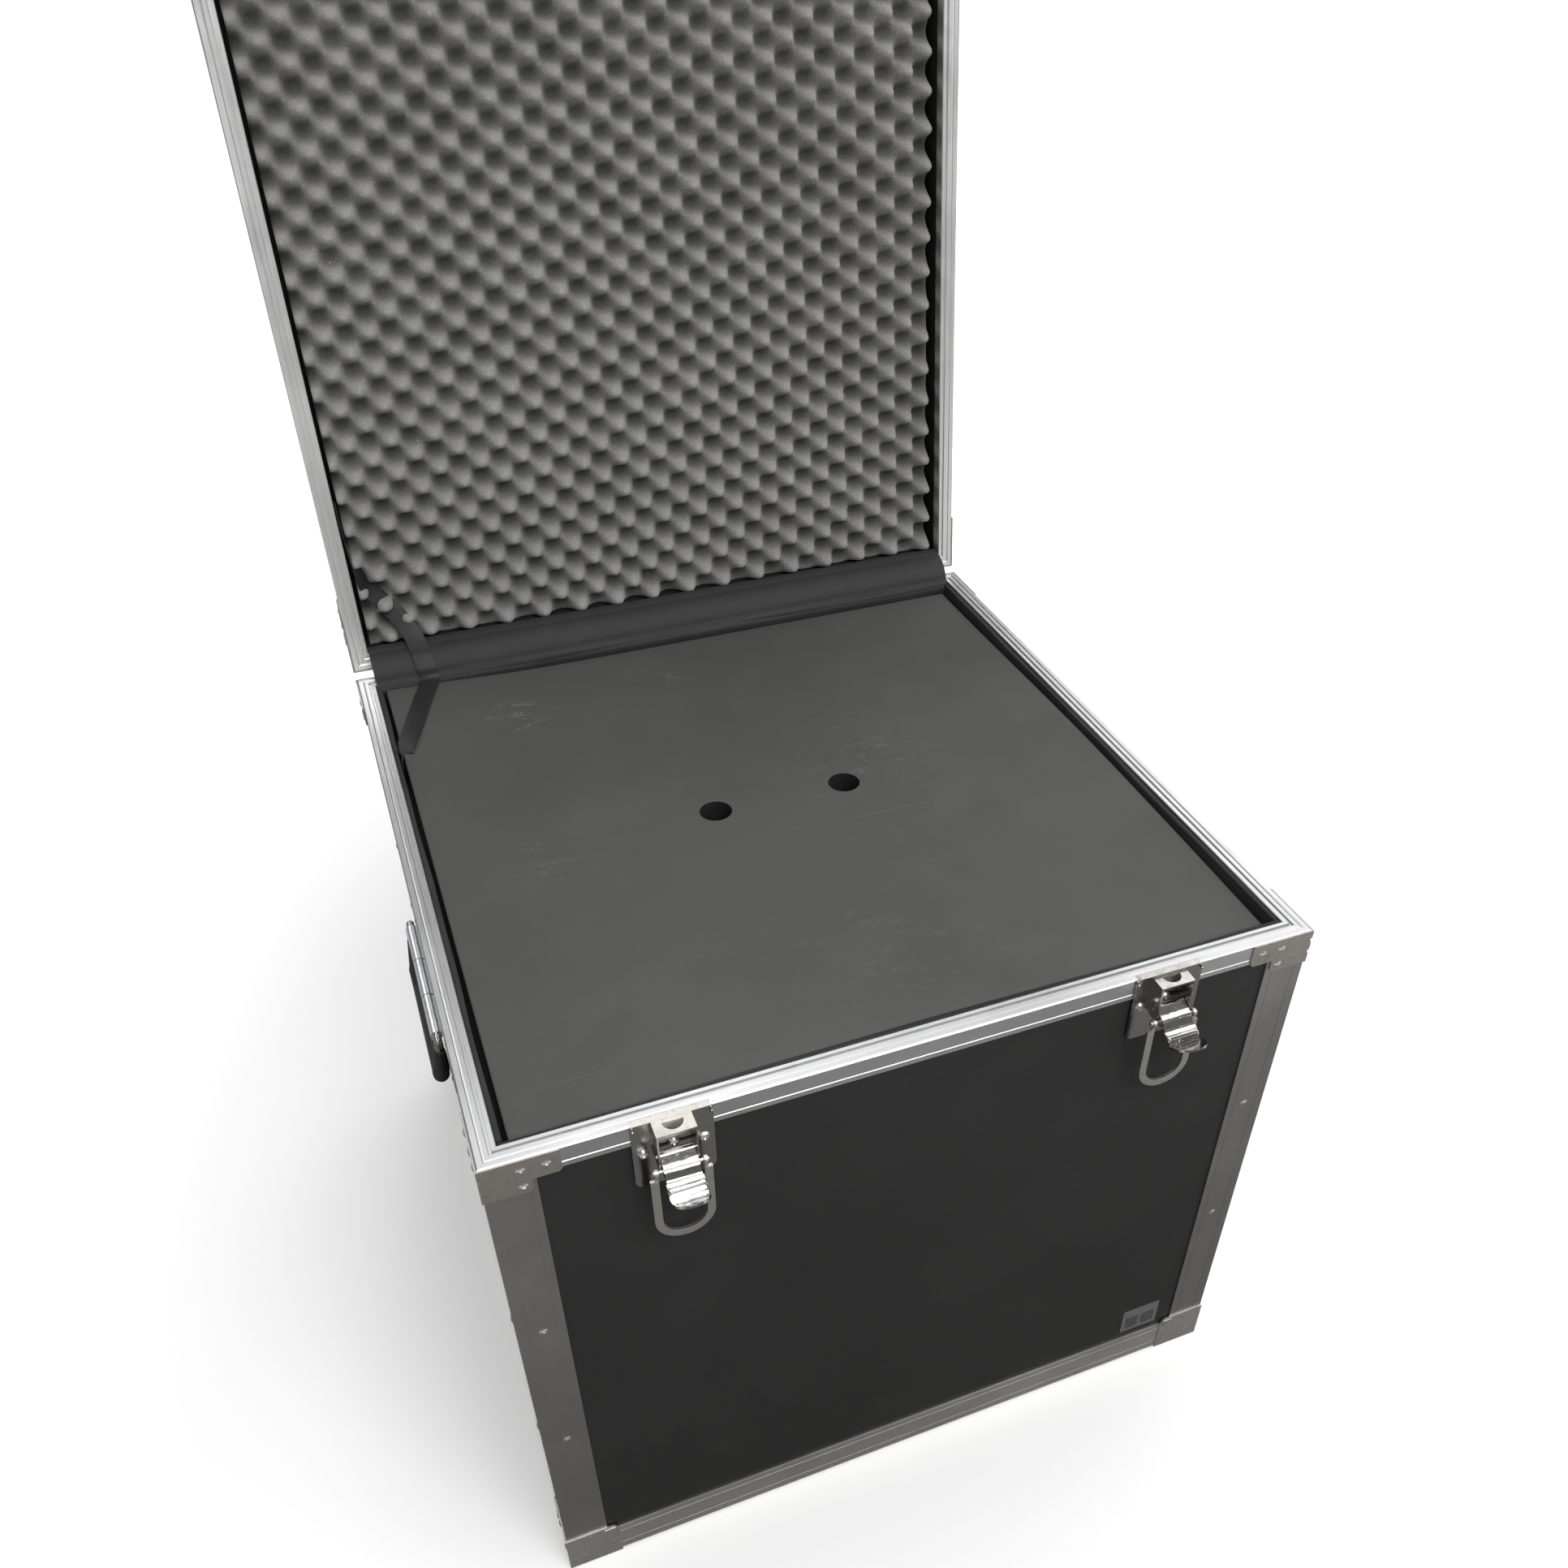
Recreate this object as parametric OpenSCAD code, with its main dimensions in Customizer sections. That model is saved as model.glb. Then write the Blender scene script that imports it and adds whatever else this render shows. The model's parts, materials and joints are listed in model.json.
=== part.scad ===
// Square flight-case trunk: a plywood box held in aluminium extrusions, with a hinged lid, two draw
// latches, two drop handles, a lift-out foam pad and an egg-crate foam in the lid.
// Frame: origin on the ground under the middle of the open case's bounding box, +X to the right, +Y
// towards the hinges, +Z up. Millimetres. The lid stands open; the latches and the handles hang down.
// Every part is drawn about the centre of the base, and in_frame() then moves it to the frame.

/* [Case] */
// Outside width and depth of the case over its extrusions
case_w = 600; // [480:10:800]
// Height of the base, from the ground to its rim
base_h = 510; // [300:10:700]
// Height of the lid, from its rim to its top
lid_h = 75; // [75:5:150]
// Angle at which the hinges stop the open lid
lid_open = 96; // [90:1:100]
// Thickness of the plywood panels
panel_t = 12; // [10:1:14]

/* [Extrusions and corners] */
// Wall of the aluminium extrusions
edge_t = 1.5; // [1.2:0.1:1.8]
// Leg of the extrusions along the corners and outer edges
edge_leg = 33.5; // [31:0.5:36]
// Height of the outer flange of the rim rails
rim_flange = 18; // [17:0.5:19]
// Gap between the two rims when the lid is closed
seam = 0.3; // [0.2:0.1:0.5]
// Sheet thickness of the brackets and corner caps
corner_t = 1.2; // [1:0.1:1.5]
// Length of a rim bracket's arm along the rim
bracket_arm = 50; // [47:1:60]
// Size of the corner caps on each face
cap_size = 43; // [42:1:50]
// Diameter of a rivet's shank
rivet_d = 3.2; // [2.8:0.1:3.6]
// Diameter of a rivet's head
rivet_head = 6.4; // [5.5:0.1:7]

/* [Foam] */
// Thickness of the wall lining, measured to the rim's inner flange
liner_t = 4; // [3:0.5:5]
// Gap between the lining and the lift-out pad
pad_gap = 3.5; // [3.2:0.1:6]
// Thickness of the lift-out pad
pad_t = 22; // [15:1:30]
// Depth of the pad's top face below the rim
pad_depth = 9; // [8:1:20]
// Diameter of the two finger holes in the pad
finger_hole_d = 26; // [20:1:35]
// Distance between the finger holes
finger_hole_gap = 111; // [60:1:160]
// Width of the foam ledge that carries the pad
ledge_w = 25; // [15:1:40]

/* [Latches] */
// Distance of each latch from the middle of the front
latch_x = 180; // [100:1:220]
// Width of the latch plate
latch_w = 54; // [52:1:60]
// Height of the latch plate
latch_h = 58; // [56:1:62]
// How far the latch bridge stands out of the front
bridge_out = 13; // [12.5:0.5:15]
// How far the lever stands away from shut, as modelled
lever_rest = 62; // [50:1:70]
// Length of the pull loop below its pin
loop_len = 67.5; // [65:0.5:72]

/* [Handles] */
// Length of the handle's barrel
barrel_len = 132; // [110:1:160]
// Drop of the hanging handle below its axis
bail_drop = 53; // [45:1:70]
// Diameter of the rubber grip
grip_d = 13; // [11:0.5:15]
// Height of the handle's axis below the rim
handle_depth = 108; // [80:1:150]

/* [Hinges] */
// Distance of each hinge from the middle of the back
hinge_x = 190; // [80:1:220]
// Distance of the hinge axis behind the back face
hinge_back = 5; // [4.8:0.1:6]
// Diameter of the hinge pins
hinge_pin_d = 4; // [3:0.5:4]

/* [Hidden] */
$fn = 48;

aluminium = [0.66, 0.65, 0.63];
steel = [0.78, 0.78, 0.77];
black_laminate = [0.13, 0.13, 0.13];
black_foam = [0.2, 0.2, 0.2];
grey_foam = [0.33, 0.33, 0.33];
black_rubber = [0.08, 0.08, 0.08];

half = case_w / 2;
rim_w = panel_t + 2 * edge_t;        // width of the rim's top face
wall_in = edge_t + panel_t;          // inner face of a panel, from the outer face
floor_top = corner_t + edge_t + panel_t;
inner_flange = 12;                   // height of the rim rail's inner flange
rail_web = 4;                        // height of the rim rail above the panel's edge
lining_in = rim_w + liner_t;         // inner face of the lining, from the outer face
bracket_low_w = 31;                  // width of a rim bracket's lower part
bracket_h = 19.5;                    // height of its arm
bracket_low_h = 30;                  // height of its lower part
mitre_gap = 0.05;                    // how far a bar stops short of its mitre
head_h = 1.1;                        // height of a rivet's head
mandrel_d = 2.1;                     // hole that the mandrel leaves in a rivet's head
rivet_grip = 8;                      // length of a rivet's shank below the extrusion's face
hole_play = 0.2;                     // how much wider a rivet's hole is than its shank
pin_play = 0.1;                      // how much wider a running hole is than its pin
tall = base_h + lid_h;               // taller than any one shell

lid_z = base_h + seam + lid_h;       // top of the closed lid
hinge_y = half + hinge_back;
hinge_z = base_h + seam / 2;
leaf_w = 70;                         // width of a hinge
leaf_h = 36;                         // height of a hinge leaf
knuckle_d = 7;

pad_half = half - lining_in - pad_gap;
pad_top = base_h - pad_depth;
finger_hole_y = -3;

latch_t = 1.2;                       // sheet thickness of the latch
latch_top = base_h;
bridge_w = 26.4;                     // width of the bridge over its cheeks
bridge_top = latch_top - 2;
rim_notch = [4, 1.4];                // depth and height of the rim's notch for the latch's flange
flange_w = 50;
pivot = [6.8, base_h - 27];          // lever pivot: distance out of the front, height
pin_shut = [-1, -9.4];               // loop pin from the pivot, with the lever shut
latch_pin_d = 3;
lever_w = 23;                        // width of the lever between the cheeks
lever_t = 1.6;
tongue_slope = 32.6;                 // fall of the lever's tongue, with the lever shut
tongue_tip = [13.6, -38.3];          // its end from the pivot, with the lever shut
tongue_r = 12.3;                     // radius of its round end
loop_w = 41;                         // outside width of the pull loop
loop_band = 5.5;                     // width of the loop's band
loop_t = 2.5;
loop_arc_z = loop_w / 2 - loop_len;  // middle of the loop's round end, from its pin

handle_z = base_h - handle_depth;
handle_out = 4.6;                    // distance of the handle's axis out of the side
rod_d = 6.5;                           // steel rod inside the handle
barrel_d = 9.4;
bail_half_top = barrel_len / 2 + 6.5;  // half width of the bail at its axis
bail_half_low = barrel_len / 2 - 7;  // and at its grip
strap_w = 20;
strap_t = 1.4;

// How far the open case's bounding box reaches in front of and behind the centre of the base
function turned(p, angle) = [p[0] * cos(angle) - p[1] * sin(angle), p[0] * sin(angle) + p[1] * cos(angle)];
loop_pin = pivot + turned(pin_shut, lever_rest);
front_reach = half + pivot[0] + turned(tongue_tip, lever_rest)[0]
    + lever_t / 2 * sin(lever_rest - tongue_slope);
back_reach = hinge_y - (case_w + hinge_back + corner_t) * cos(lid_open) + (lid_z - hinge_z) * sin(lid_open);
box_mid_y = (back_reach - front_reach) / 2;

// ---------- helpers ----------

// Moves a part from the centre of the base to the frame.
module in_frame() {
    translate([0, -box_mid_y, 0])
        children();
}

// Four mitred bars around the case, with a hairline between them at the mitres. The profile's x runs
// inward from the outer face and its y is the height; reach is how far in the profile goes.
module mitred_ring(reach) {
    for (side = [0:3])
        rotate([0, 0, 90 * side])
            intersection() {
                translate([-half, -half, 0])
                    rotate([90, 0, 90])
                        linear_extrude(case_w)
                            children();
                translate([0, 0, -1])
                    linear_extrude(tall)
                        polygon([[mitre_gap - half, -half], [half - mitre_gap, -half],
                                 [half - reach - mitre_gap, reach - half],
                                 [reach - half + mitre_gap, reach - half]]);
            }
}

// Repeats a child at the four corners, with the outer corner as its origin.
module at_corners() {
    for (corner = [0:3])
        rotate([0, 0, 90 * corner])
            translate([-half, -half, 0])
                children();
}

// Draws a child on the front face at a corner and mirrors it onto the side face.
module on_both_faces() {
    children();
    mirror([1, -1, 0])
        children();
}

// Stands a flat outline up in front of the face, t thick: its x is the width and its y the height.
module plate_out(t) {
    rotate([90, 0, 0])
        linear_extrude(t)
            children();
}

// Extrudes a side outline across the front: its x is the distance out and its y the height.
module across(width) {
    rotate([90, 0, -90])
        linear_extrude(width, center = true)
            children();
}

// A rod across the front at [distance out, height].
module cross_rod(at, d, len) {
    translate([0, -at[0], at[1]])
        rotate([0, 90, 0])
            cylinder(d = d, h = len, center = true);
}

// A rod from a to b with a ball at each end.
module rod_between(a, b, d) {
    v = b - a;
    translate(a)
        rotate([0, acos(v[2] / norm(v)), atan2(v[1], v[0])])
            cylinder(d = d, h = norm(v));
    for (end = [a, b])
        translate(end)
            sphere(d = d + 0.1);
}

// A rectangle whose two upper corners are round.
module rounded_top(w, h, r) {
    square([w, h - r]);
    translate([r, 0])
        square([w - 2 * r, h]);
    for (x = [r, w - r])
        translate([x, h - r])
            circle(r);
}

// A rectangle whose far upper corner is round.
module round_corner_plate(w, h, r) {
    square([w, h - r]);
    square([w - r, h]);
    translate([w - r, h - r])
        circle(r);
}

// A blind rivet that points up. seat is the height of the sheet under its head.
module rivet(seat = 0, grip = rivet_grip) {
    ball = (rivet_head * rivet_head / 4 + head_h * head_h) / (2 * head_h);
    difference() {
        union() {
            translate([0, 0, seat])
                intersection() {
                    translate([0, 0, head_h - ball])
                        sphere(ball);
                    translate([0, 0, ball])
                        cube(2 * ball, center = true);
                }
            translate([0, 0, -grip])
                cylinder(d = rivet_d, h = grip + seat + head_h / 2);
        }
        translate([0, 0, seat - 0.2])
            cylinder(d = mandrel_d, h = 2 * head_h);
    }
}

module rivet_hole(seat = 0, grip = rivet_grip) {
    translate([0, 0, -grip - 0.5])
        cylinder(d = rivet_d + hole_play, h = grip + seat + 1);
}

// A pan-head screw that points up, with a cross recess.
module screw(seat) {
    difference() {
        union() {
            translate([0, 0, seat])
                cylinder(d1 = 7.6, d2 = 5.4, h = 1.7);
            translate([0, 0, -rivet_grip])
                cylinder(d = rivet_d, h = rivet_grip + seat + 0.5);
        }
        for (turn = [0, 90])
            translate([0, 0, seat + 1.5])
                rotate([0, 0, turn])
                    cube([4, 0.9, 1.2], center = true);
    }
}

// ---------- one shell: closed end at z = 0, rim at z = h ----------

// Every place where a rivet sits on a shell. seat is passed on through $seat.
module shell_rivet_spots(h, post_heights) {
    at_corners()
        on_both_faces() {
            for (spot = [[25, h - 10], [41, h - 10], [25, h - 25], [19, 38], [37, 17]]) {
                $seat = corner_t;
                translate([spot[0], 0, spot[1]])
                    rotate([90, 0, 0])
                        children();
            }
            for (z = post_heights) {
                $seat = 0;
                translate([18, 0, z])
                    rotate([90, 0, 0])
                        children();
            }
        }
    for (side = [0:3])
        rotate([0, 0, 90 * side])
            for (x = [-half / 3, half / 3]) {
                $seat = 0;
                translate([x, edge_leg / 2 - half, corner_t])
                    rotate([180, 0, 0])
                        children();
            }
}

module shell_rivets(h, post_heights) {
    shell_rivet_spots(h, post_heights)
        rivet($seat);
}

module shell_rivet_holes(h, post_heights) {
    shell_rivet_spots(h, post_heights)
        rivet_hole($seat);
}

// side: 0 front, 1 right, 2 back, 3 left. The front and back panels run the full width.
module wall_panel(h, side) {
    len = case_w - 2 * edge_t - (side % 2) * 2 * panel_t;
    rotate([0, 0, 90 * side])
        translate([-len / 2, edge_t - half, floor_top])
            cube([len, panel_t, h - rail_web - floor_top]);
}

module end_panel() {
    size = case_w - 2 * edge_t;
    translate([-size / 2, -size / 2, corner_t + edge_t])
        cube([size, size, panel_t]);
}

// Rim rail: an outer flange with a bead line, a grooved top face, and an inner flange. The lid's rail has
// a tongue where the base's has a groove.
module rim_profile(h, tongue) {
    seat_line = tongue
        ? [[0.66 * rim_w, -0.3], [0.67 * rim_w, 1.5], [0.71 * rim_w, 1.5], [0.73 * rim_w, 0]]
        : [[0.6 * rim_w, -0.3], [0.63 * rim_w, -2], [0.75 * rim_w, -2], [0.78 * rim_w, 0]];
    translate([0, h])
        polygon(concat(
            [[0, -rim_flange], [0, 4 - rim_flange], [0.4, 4.4 - rim_flange], [0.4, 5.2 - rim_flange],
             [0, 5.6 - rim_flange], [0, -1], [1, 0], [0.31 * rim_w, 0], [0.35 * rim_w, -0.6],
             [0.42 * rim_w, -0.3]],
            seat_line,
            [[rim_w - 0.6, 0], [rim_w, -0.6], [rim_w, -inner_flange],
             [rim_w - edge_t, -inner_flange], [rim_w - edge_t, -rail_web], [edge_t, -rail_web],
             [edge_t, -rim_flange]]));
}

module rim_rails(h, tongue, post_heights) {
    difference() {
        mitred_ring(rim_w)
            rim_profile(h, tongue);
        shell_rivet_holes(h, post_heights);
    }
}

// Upright L-section extrusions with two shallow lengthwise lines on each leg.
module corner_edges(h, post_heights) {
    difference() {
        at_corners()
            translate([0, 0, edge_leg + corner_t])
                linear_extrude(h - rim_flange - edge_leg - corner_t)
                    difference() {
                        square(edge_leg);
                        translate([edge_t, edge_t])
                            square(edge_leg);
                        for (u = [8, 27]) {
                            translate([u, -1])
                                square([0.5, 1.15]);
                            translate([-1, u])
                                square([1.15, 0.5]);
                        }
                    }
        shell_rivet_holes(h, post_heights);
    }
}

// L-section extrusions around the closed end.
module end_edges(h, post_heights) {
    difference() {
        mitred_ring(edge_leg)
            translate([0, corner_t])
                difference() {
                    square([edge_leg, edge_leg]);
                    translate([edge_t, edge_t])
                        square([edge_leg, edge_leg]);
                    for (z = [8, 27])
                        translate([-1, z])
                            square([1.3, 0.7]);
                }
        shell_rivet_holes(h, post_heights);
    }
}

// Stamped brackets that wrap round the corners at the rim, with two notches pressed into the bend.
module rim_brackets(h) {
    top = h - 0.6;
    cut = 2.5;
    notch_d = 5;
    notch_deep = 1.2;
    notch_at = -corner_t - (notch_d / 2 - notch_deep) / sqrt(2);
    difference() {
        at_corners()
            union()
                on_both_faces()
                    plate_out(corner_t)
                        polygon([[-corner_t, top - bracket_low_h], [bracket_low_w - cut, top - bracket_low_h],
                                 [bracket_low_w, top - bracket_low_h + cut],
                                 [bracket_low_w, top - bracket_h], [bracket_arm - cut, top - bracket_h],
                                 [bracket_arm, top - bracket_h + cut], [bracket_arm, top],
                                 [-corner_t, top]]);
        at_corners()
            for (z = [top - 9, top - 20])
                translate([notch_at, notch_at, z])
                    rotate([90, 0, 45])
                        cylinder(d = notch_d, h = 20, center = true);
        shell_rivet_holes(h, []);
    }
}

// Stamped three-sided caps over the closed end's corners, each with a pressed rib and a raised tab.
module corner_caps(h) {
    tab = 9;
    difference() {
        at_corners()
            union() {
                on_both_faces() {
                    plate_out(corner_t)
                        translate([-corner_t, 0])
                            round_corner_plate(cap_size + corner_t, cap_size, 7);
                    translate([11, -corner_t, 14])
                        rotate([0, 45, 0])
                            cube([9, 1.6, 2.2], center = true);
                    translate([cap_size - tab - 3, -corner_t - 0.5, cap_size - tab - 3])
                        cube([tab, 1, tab]);
                }
                translate([-corner_t, -corner_t, 0])
                    linear_extrude(corner_t)
                        square(cap_size + corner_t - 1);
            }
        shell_rivet_holes(h, []);
    }
}

// ---------- base ----------

base_posts = [0.375 * base_h, 0.65 * base_h];

module base_panel(side) {
    color(black_laminate) in_frame()
        difference() {
            wall_panel(base_h, side);
            shell_rivet_holes(base_h, base_posts);
            latch_screw_holes();
            handle_rivet_holes();
            hinge_rivet_holes();
        }
}

module base_front_panel() { base_panel(0); }
module base_right_panel() { base_panel(1); }
module base_back_panel() { base_panel(2); }
module base_left_panel() { base_panel(3); }

module base_floor_panel() {
    color(black_laminate) in_frame()
        difference() {
            end_panel();
            shell_rivet_holes(base_h, base_posts);
        }
}

module base_rim_rails() {
    color(aluminium) in_frame()
        difference() {
            rim_rails(base_h, false, base_posts);
            latch_screw_holes();
            hinge_rivet_holes();
            for (side = [-1, 1])
                at_latch(side)
                    translate([-flange_w / 2 - 0.2, -1, base_h - rim_notch[1]])
                        cube([flange_w + 0.4, rim_notch[0] + 1, 2 * rim_notch[1]]);
        }
}

module base_corner_edges() { color(aluminium) in_frame() corner_edges(base_h, base_posts); }
module base_bottom_edges() { color(aluminium) in_frame() end_edges(base_h, base_posts); }
module base_rim_brackets() { color(aluminium) in_frame() rim_brackets(base_h); }
module base_corner_caps() { color(aluminium) in_frame() corner_caps(base_h); }
module base_rivets() { color(steel) in_frame() shell_rivets(base_h, base_posts); }

module base_wall_lining() {
    color(black_foam) in_frame()
        mitred_ring(lining_in)
            polygon([[wall_in, floor_top], [lining_in, floor_top], [lining_in, base_h - 1.5], [rim_w, base_h - 1.5],
                     [rim_w, base_h - inner_flange - 0.5], [wall_in, base_h - inner_flange - 0.5]]);
}

module base_floor_lining() {
    size = case_w - 2 * lining_in;
    color(black_foam) in_frame()
        translate([-size / 2, -size / 2, floor_top])
            cube([size, size, liner_t]);
}

module pad_ledge() {
    color(black_foam) in_frame()
        mitred_ring(lining_in + ledge_w)
            translate([lining_in, pad_top - pad_t - 30])
                square([ledge_w, 30]);
}

module lift_out_pad() {
    color(grey_foam) in_frame()
        translate([0, 0, pad_top - pad_t])
            linear_extrude(pad_t)
                difference() {
                    square(2 * pad_half, center = true);
                    for (side = [-1, 1])
                        translate([side * finger_hole_gap / 2, finger_hole_y])
                            circle(d = finger_hole_d);
                }
}

module label_plate() {
    color([0.45, 0.45, 0.45]) in_frame()
        translate([half - 86, edge_t - half, 44])
            plate_out(0.4)
                for (turn = [0, 180])
                    translate([turn / 180 * 37, turn / 180 * 31])
                        rotate(turn)
                            rounded_top(37, 28, 4);
}

// ---------- latches ----------

module at_latch(side) {
    translate([side * latch_x, -half, 0])
        children();
}

// The three screws of one latch, pointing out of the front.
module latch_screw_spots() {
    for (spot = [[-20, base_h - 27], [20, base_h - 27], [0, base_h - 23.5]])
        translate([spot[0], 0, spot[1]])
            rotate([90, 0, 0])
                children();
}

module latch_screw_holes() {
    for (side = [-1, 1])
        at_latch(side)
            latch_screw_spots()
                rivet_hole(latch_t);
}

module latch_screws() {
    color(steel) in_frame()
        for (side = [-1, 1])
            at_latch(side)
                latch_screw_spots()
                    screw(latch_t);
}

// Outline of a bridge cheek: straight above the pivot and round below it, so that the loop's pin can
// pass around it.
module cheek_outline() {
    translate([0, pivot[1]])
        square([bridge_out, bridge_top - pivot[1]]);
    intersection() {
        translate(pivot)
            circle(7);
        translate([0, pivot[1] - 10])
            square([bridge_out, 10.5]);
    }
    translate([0, pivot[1] - 5])
        square([pivot[0], 6]);
}

module latch_plate(side) {
    cheek_x = (bridge_w - latch_t) / 2;
    slot_d = 14;
    slot_out = 2.8;
    color(steel) in_frame()
        at_latch(side)
            difference() {
                union() {
                    plate_out(latch_t)
                        translate([latch_w / 2, latch_top])
                            rotate(180)
                                rounded_top(latch_w, latch_h, 5);
                    translate([-flange_w / 2, -latch_t / 2, latch_top - latch_t])
                        cube([flange_w, rim_notch[0] + latch_t / 2 - 0.1, latch_t]);
                    translate([-bridge_w / 2, -bridge_out, bridge_top - latch_t])
                        cube([bridge_w, bridge_out, latch_t]);
                    for (x = [-cheek_x, cheek_x])
                        translate([x, 0, 0])
                            across(latch_t)
                                cheek_outline();
                    for (x = [-1, 1])
                        rod_between([x * (flange_w / 2 + 0.5), -1.05, latch_top - 1.5],
                                    [x * (flange_w / 2 + 0.5), -2.6, latch_top - 3.5], 2);
                }
                translate([0, -slot_out, bridge_top])
                    intersection() {
                        cylinder(d = slot_d, h = 8, center = true);
                        translate([0, -slot_d / 2, 0])
                            cube([slot_d, slot_d, 8], center = true);
                    }
                cross_rod(pivot, latch_pin_d, 3 * latch_w / 2);
                latch_screw_spots()
                    rivet_hole(latch_t);
            }
}

module left_latch_plate() { latch_plate(-1); }
module right_latch_plate() { latch_plate(1); }

module latch_pivot_pins() {
    color(steel) in_frame()
        for (side = [-1, 1])
            at_latch(side)
                cross_rod(pivot, latch_pin_d, bridge_w + 1);
}

// The lever's sheet from the side, shut and from its pivot: off the roll, in to the neck, over the ridge,
// into the crease and out along the tongue.
tongue_line = [for (back = [15.5, 10, 5, 0, -2]) tongue_tip + back * [-cos(tongue_slope), sin(tongue_slope)]];
lever_bends = concat([[1.4, -2], [2.4, -6.5], [2.8, -11.5], [0.2, -17.2], [0.8, -23], [-1.9, -28.4]],
                     tongue_line, [tongue_tip + 4 * [cos(tongue_slope), -sin(tongue_slope)]]);

// A point of the smooth curve through p, t of the way from point i to the next.
function smooth(p, i, t) = (2 * p[i] + (p[i + 1] - p[i - 1]) * t
    + (2 * p[i - 1] - 5 * p[i] + 4 * p[i + 1] - p[i + 2]) * t * t
    + (3 * p[i] - p[i - 1] - 3 * p[i + 1] + p[i + 2]) * t * t * t) / 2;

lever_line = [for (i = [1:len(lever_bends) - 3]) for (t = [0, 0.25, 0.5, 0.75]) smooth(lever_bends, i, t)];

// A strip of thickness t along a line of points.
module strip_along(line, t) {
    last = len(line) - 1;
    function along(i) = line[min(i + 1, last)] - line[max(i - 1, 0)];
    function beside(i) = [-along(i)[1], along(i)[0]] / norm(along(i)) * t / 2;
    polygon(concat([for (i = [0:last]) line[i] + beside(i)],
                   [for (i = [last:-1:0]) line[i] - beside(i)]));
}

// Holds a part of the lever, drawn shut and from its pivot, as the lever stands.
module at_lever() {
    translate([0, -pivot[0], pivot[1]])
        rotate([-lever_rest, 0, 0])
            children();
}

// What the lever keeps of its sheet: straight sides at the neck and a round end at the tongue.
module lever_plan() {
    centre = tongue_tip + tongue_r * [-cos(tongue_slope), sin(tongue_slope)];
    translate([-lever_w / 2, -20, -22])
        cube([lever_w, 40, 30]);
    translate([0, -centre[0], centre[1]])
        rotate([tongue_slope, 0, 0]) {
            cylinder(r = tongue_r, h = 20, center = true);
            translate([-tongue_r, 0, -10])
                cube([2 * tongue_r, 14, 20]);
        }
}

module latch_lever(side) {
    ear_x = 10.8;
    color(steel) in_frame()
        at_latch(side)
            at_lever()
                difference() {
                    union() {
                        intersection() {
                            across(2 * tongue_r + 1)
                                strip_along(lever_line, lever_t);
                            lever_plan();
                        }
                        rod_between([-ear_x, -0.4, -23], [ear_x, -0.4, -23], 4.2);
                        cross_rod([0, 0], 6.4, lever_w);
                        cross_rod(pin_shut, 8.4, lever_w);
                        across(lever_w)
                            polygon([[-3, 0], [3, 0], [2.6, pin_shut[1]], [-3.6, pin_shut[1]]]);
                    }
                    cross_rod([0, 0], latch_pin_d + pin_play, 2 * lever_w);
                    cross_rod(pin_shut, latch_pin_d + pin_play, 2 * lever_w);
                }
}

module left_latch_lever() { latch_lever(-1); }
module right_latch_lever() { latch_lever(1); }

eye_x = [14.9, 17.4];                // inner and outer side of a loop's eye

// The pin turns in the lever, so that the loop can hang from it whatever the lever does. Its ends are domed.
module latch_loop_pin(side) {
    dome_d = 4;
    color(steel) in_frame()
        at_latch(side) {
            cross_rod(loop_pin, latch_pin_d, 2 * eye_x[1] + 0.4);
            for (x = [0, 1])
                mirror([x, 0, 0])
                    intersection() {
                        translate([eye_x[1] + 0.1, -loop_pin[0], loop_pin[1]])
                            sphere(d = dome_d);
                        translate([eye_x[1] + 0.1, -loop_pin[0] - dome_d, loop_pin[1] - dome_d])
                            cube(2 * dome_d);
                    }
        }
}

module left_loop_pin() { latch_loop_pin(-1); }
module right_loop_pin() { latch_loop_pin(1); }

// Outline of the loop to a given half width, from its pin: straight legs and a round end.
module loop_outline(half_w, top) {
    translate([-half_w, loop_arc_z])
        square([2 * half_w, top - loop_arc_z]);
    translate([0, loop_arc_z])
        circle(half_w);
}

module pull_loop(side) {
    shoulder = -7;                   // top of the loop's legs, from the pin
    eye_d = 6;
    eye_w = eye_x[1] - eye_x[0];
    color(aluminium) in_frame()
        at_latch(side)
            translate([0, -loop_pin[0], loop_pin[1]])
                difference() {
                    union() {
                        translate([0, loop_t / 2, 0])
                            plate_out(loop_t)
                                difference() {
                                    loop_outline(loop_w / 2, shoulder);
                                    loop_outline(loop_w / 2 - loop_band, shoulder + 1);
                                }
                        for (x = [-1, 1]) {
                            translate([x * (eye_x[0] + eye_w / 2), 0, 0])
                                rotate([0, 90, 0])
                                    cylinder(d = eye_d, h = eye_w, center = true);
                            translate([x * (eye_x[0] + eye_w / 2), 0, shoulder / 2 - 1])
                                cube([eye_w, loop_t - 0.2, -shoulder], center = true);
                        }
                    }
                    cross_rod([0, 0], latch_pin_d + pin_play, 2 * loop_w);
                }
}

module left_pull_loop() { pull_loop(-1); }
module right_pull_loop() { pull_loop(1); }

// ---------- handles, drawn on the left side and mirrored onto the right ----------

handle_rivet_y = barrel_len / 2 + 20;
plate_face = edge_t - half;          // x of the left panel's face

// side is -1 for the left handle and 1 for the right one.
module at_handle(side) {
    mirror([(side + 1) / 2, 0, 0])
        translate([0, 0, handle_z])
            children();
}

module handle_rivet_spots() {
    for (y = [-handle_rivet_y, handle_rivet_y])
        for (z = [-9, 9])
            translate([plate_face, y, z])
                rotate([0, -90, 0])
                    children();
}

module handle_rivet_holes() {
    for (side = [-1, 1])
        at_handle(side)
            handle_rivet_spots()
                rivet_hole(corner_t);
}

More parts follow.
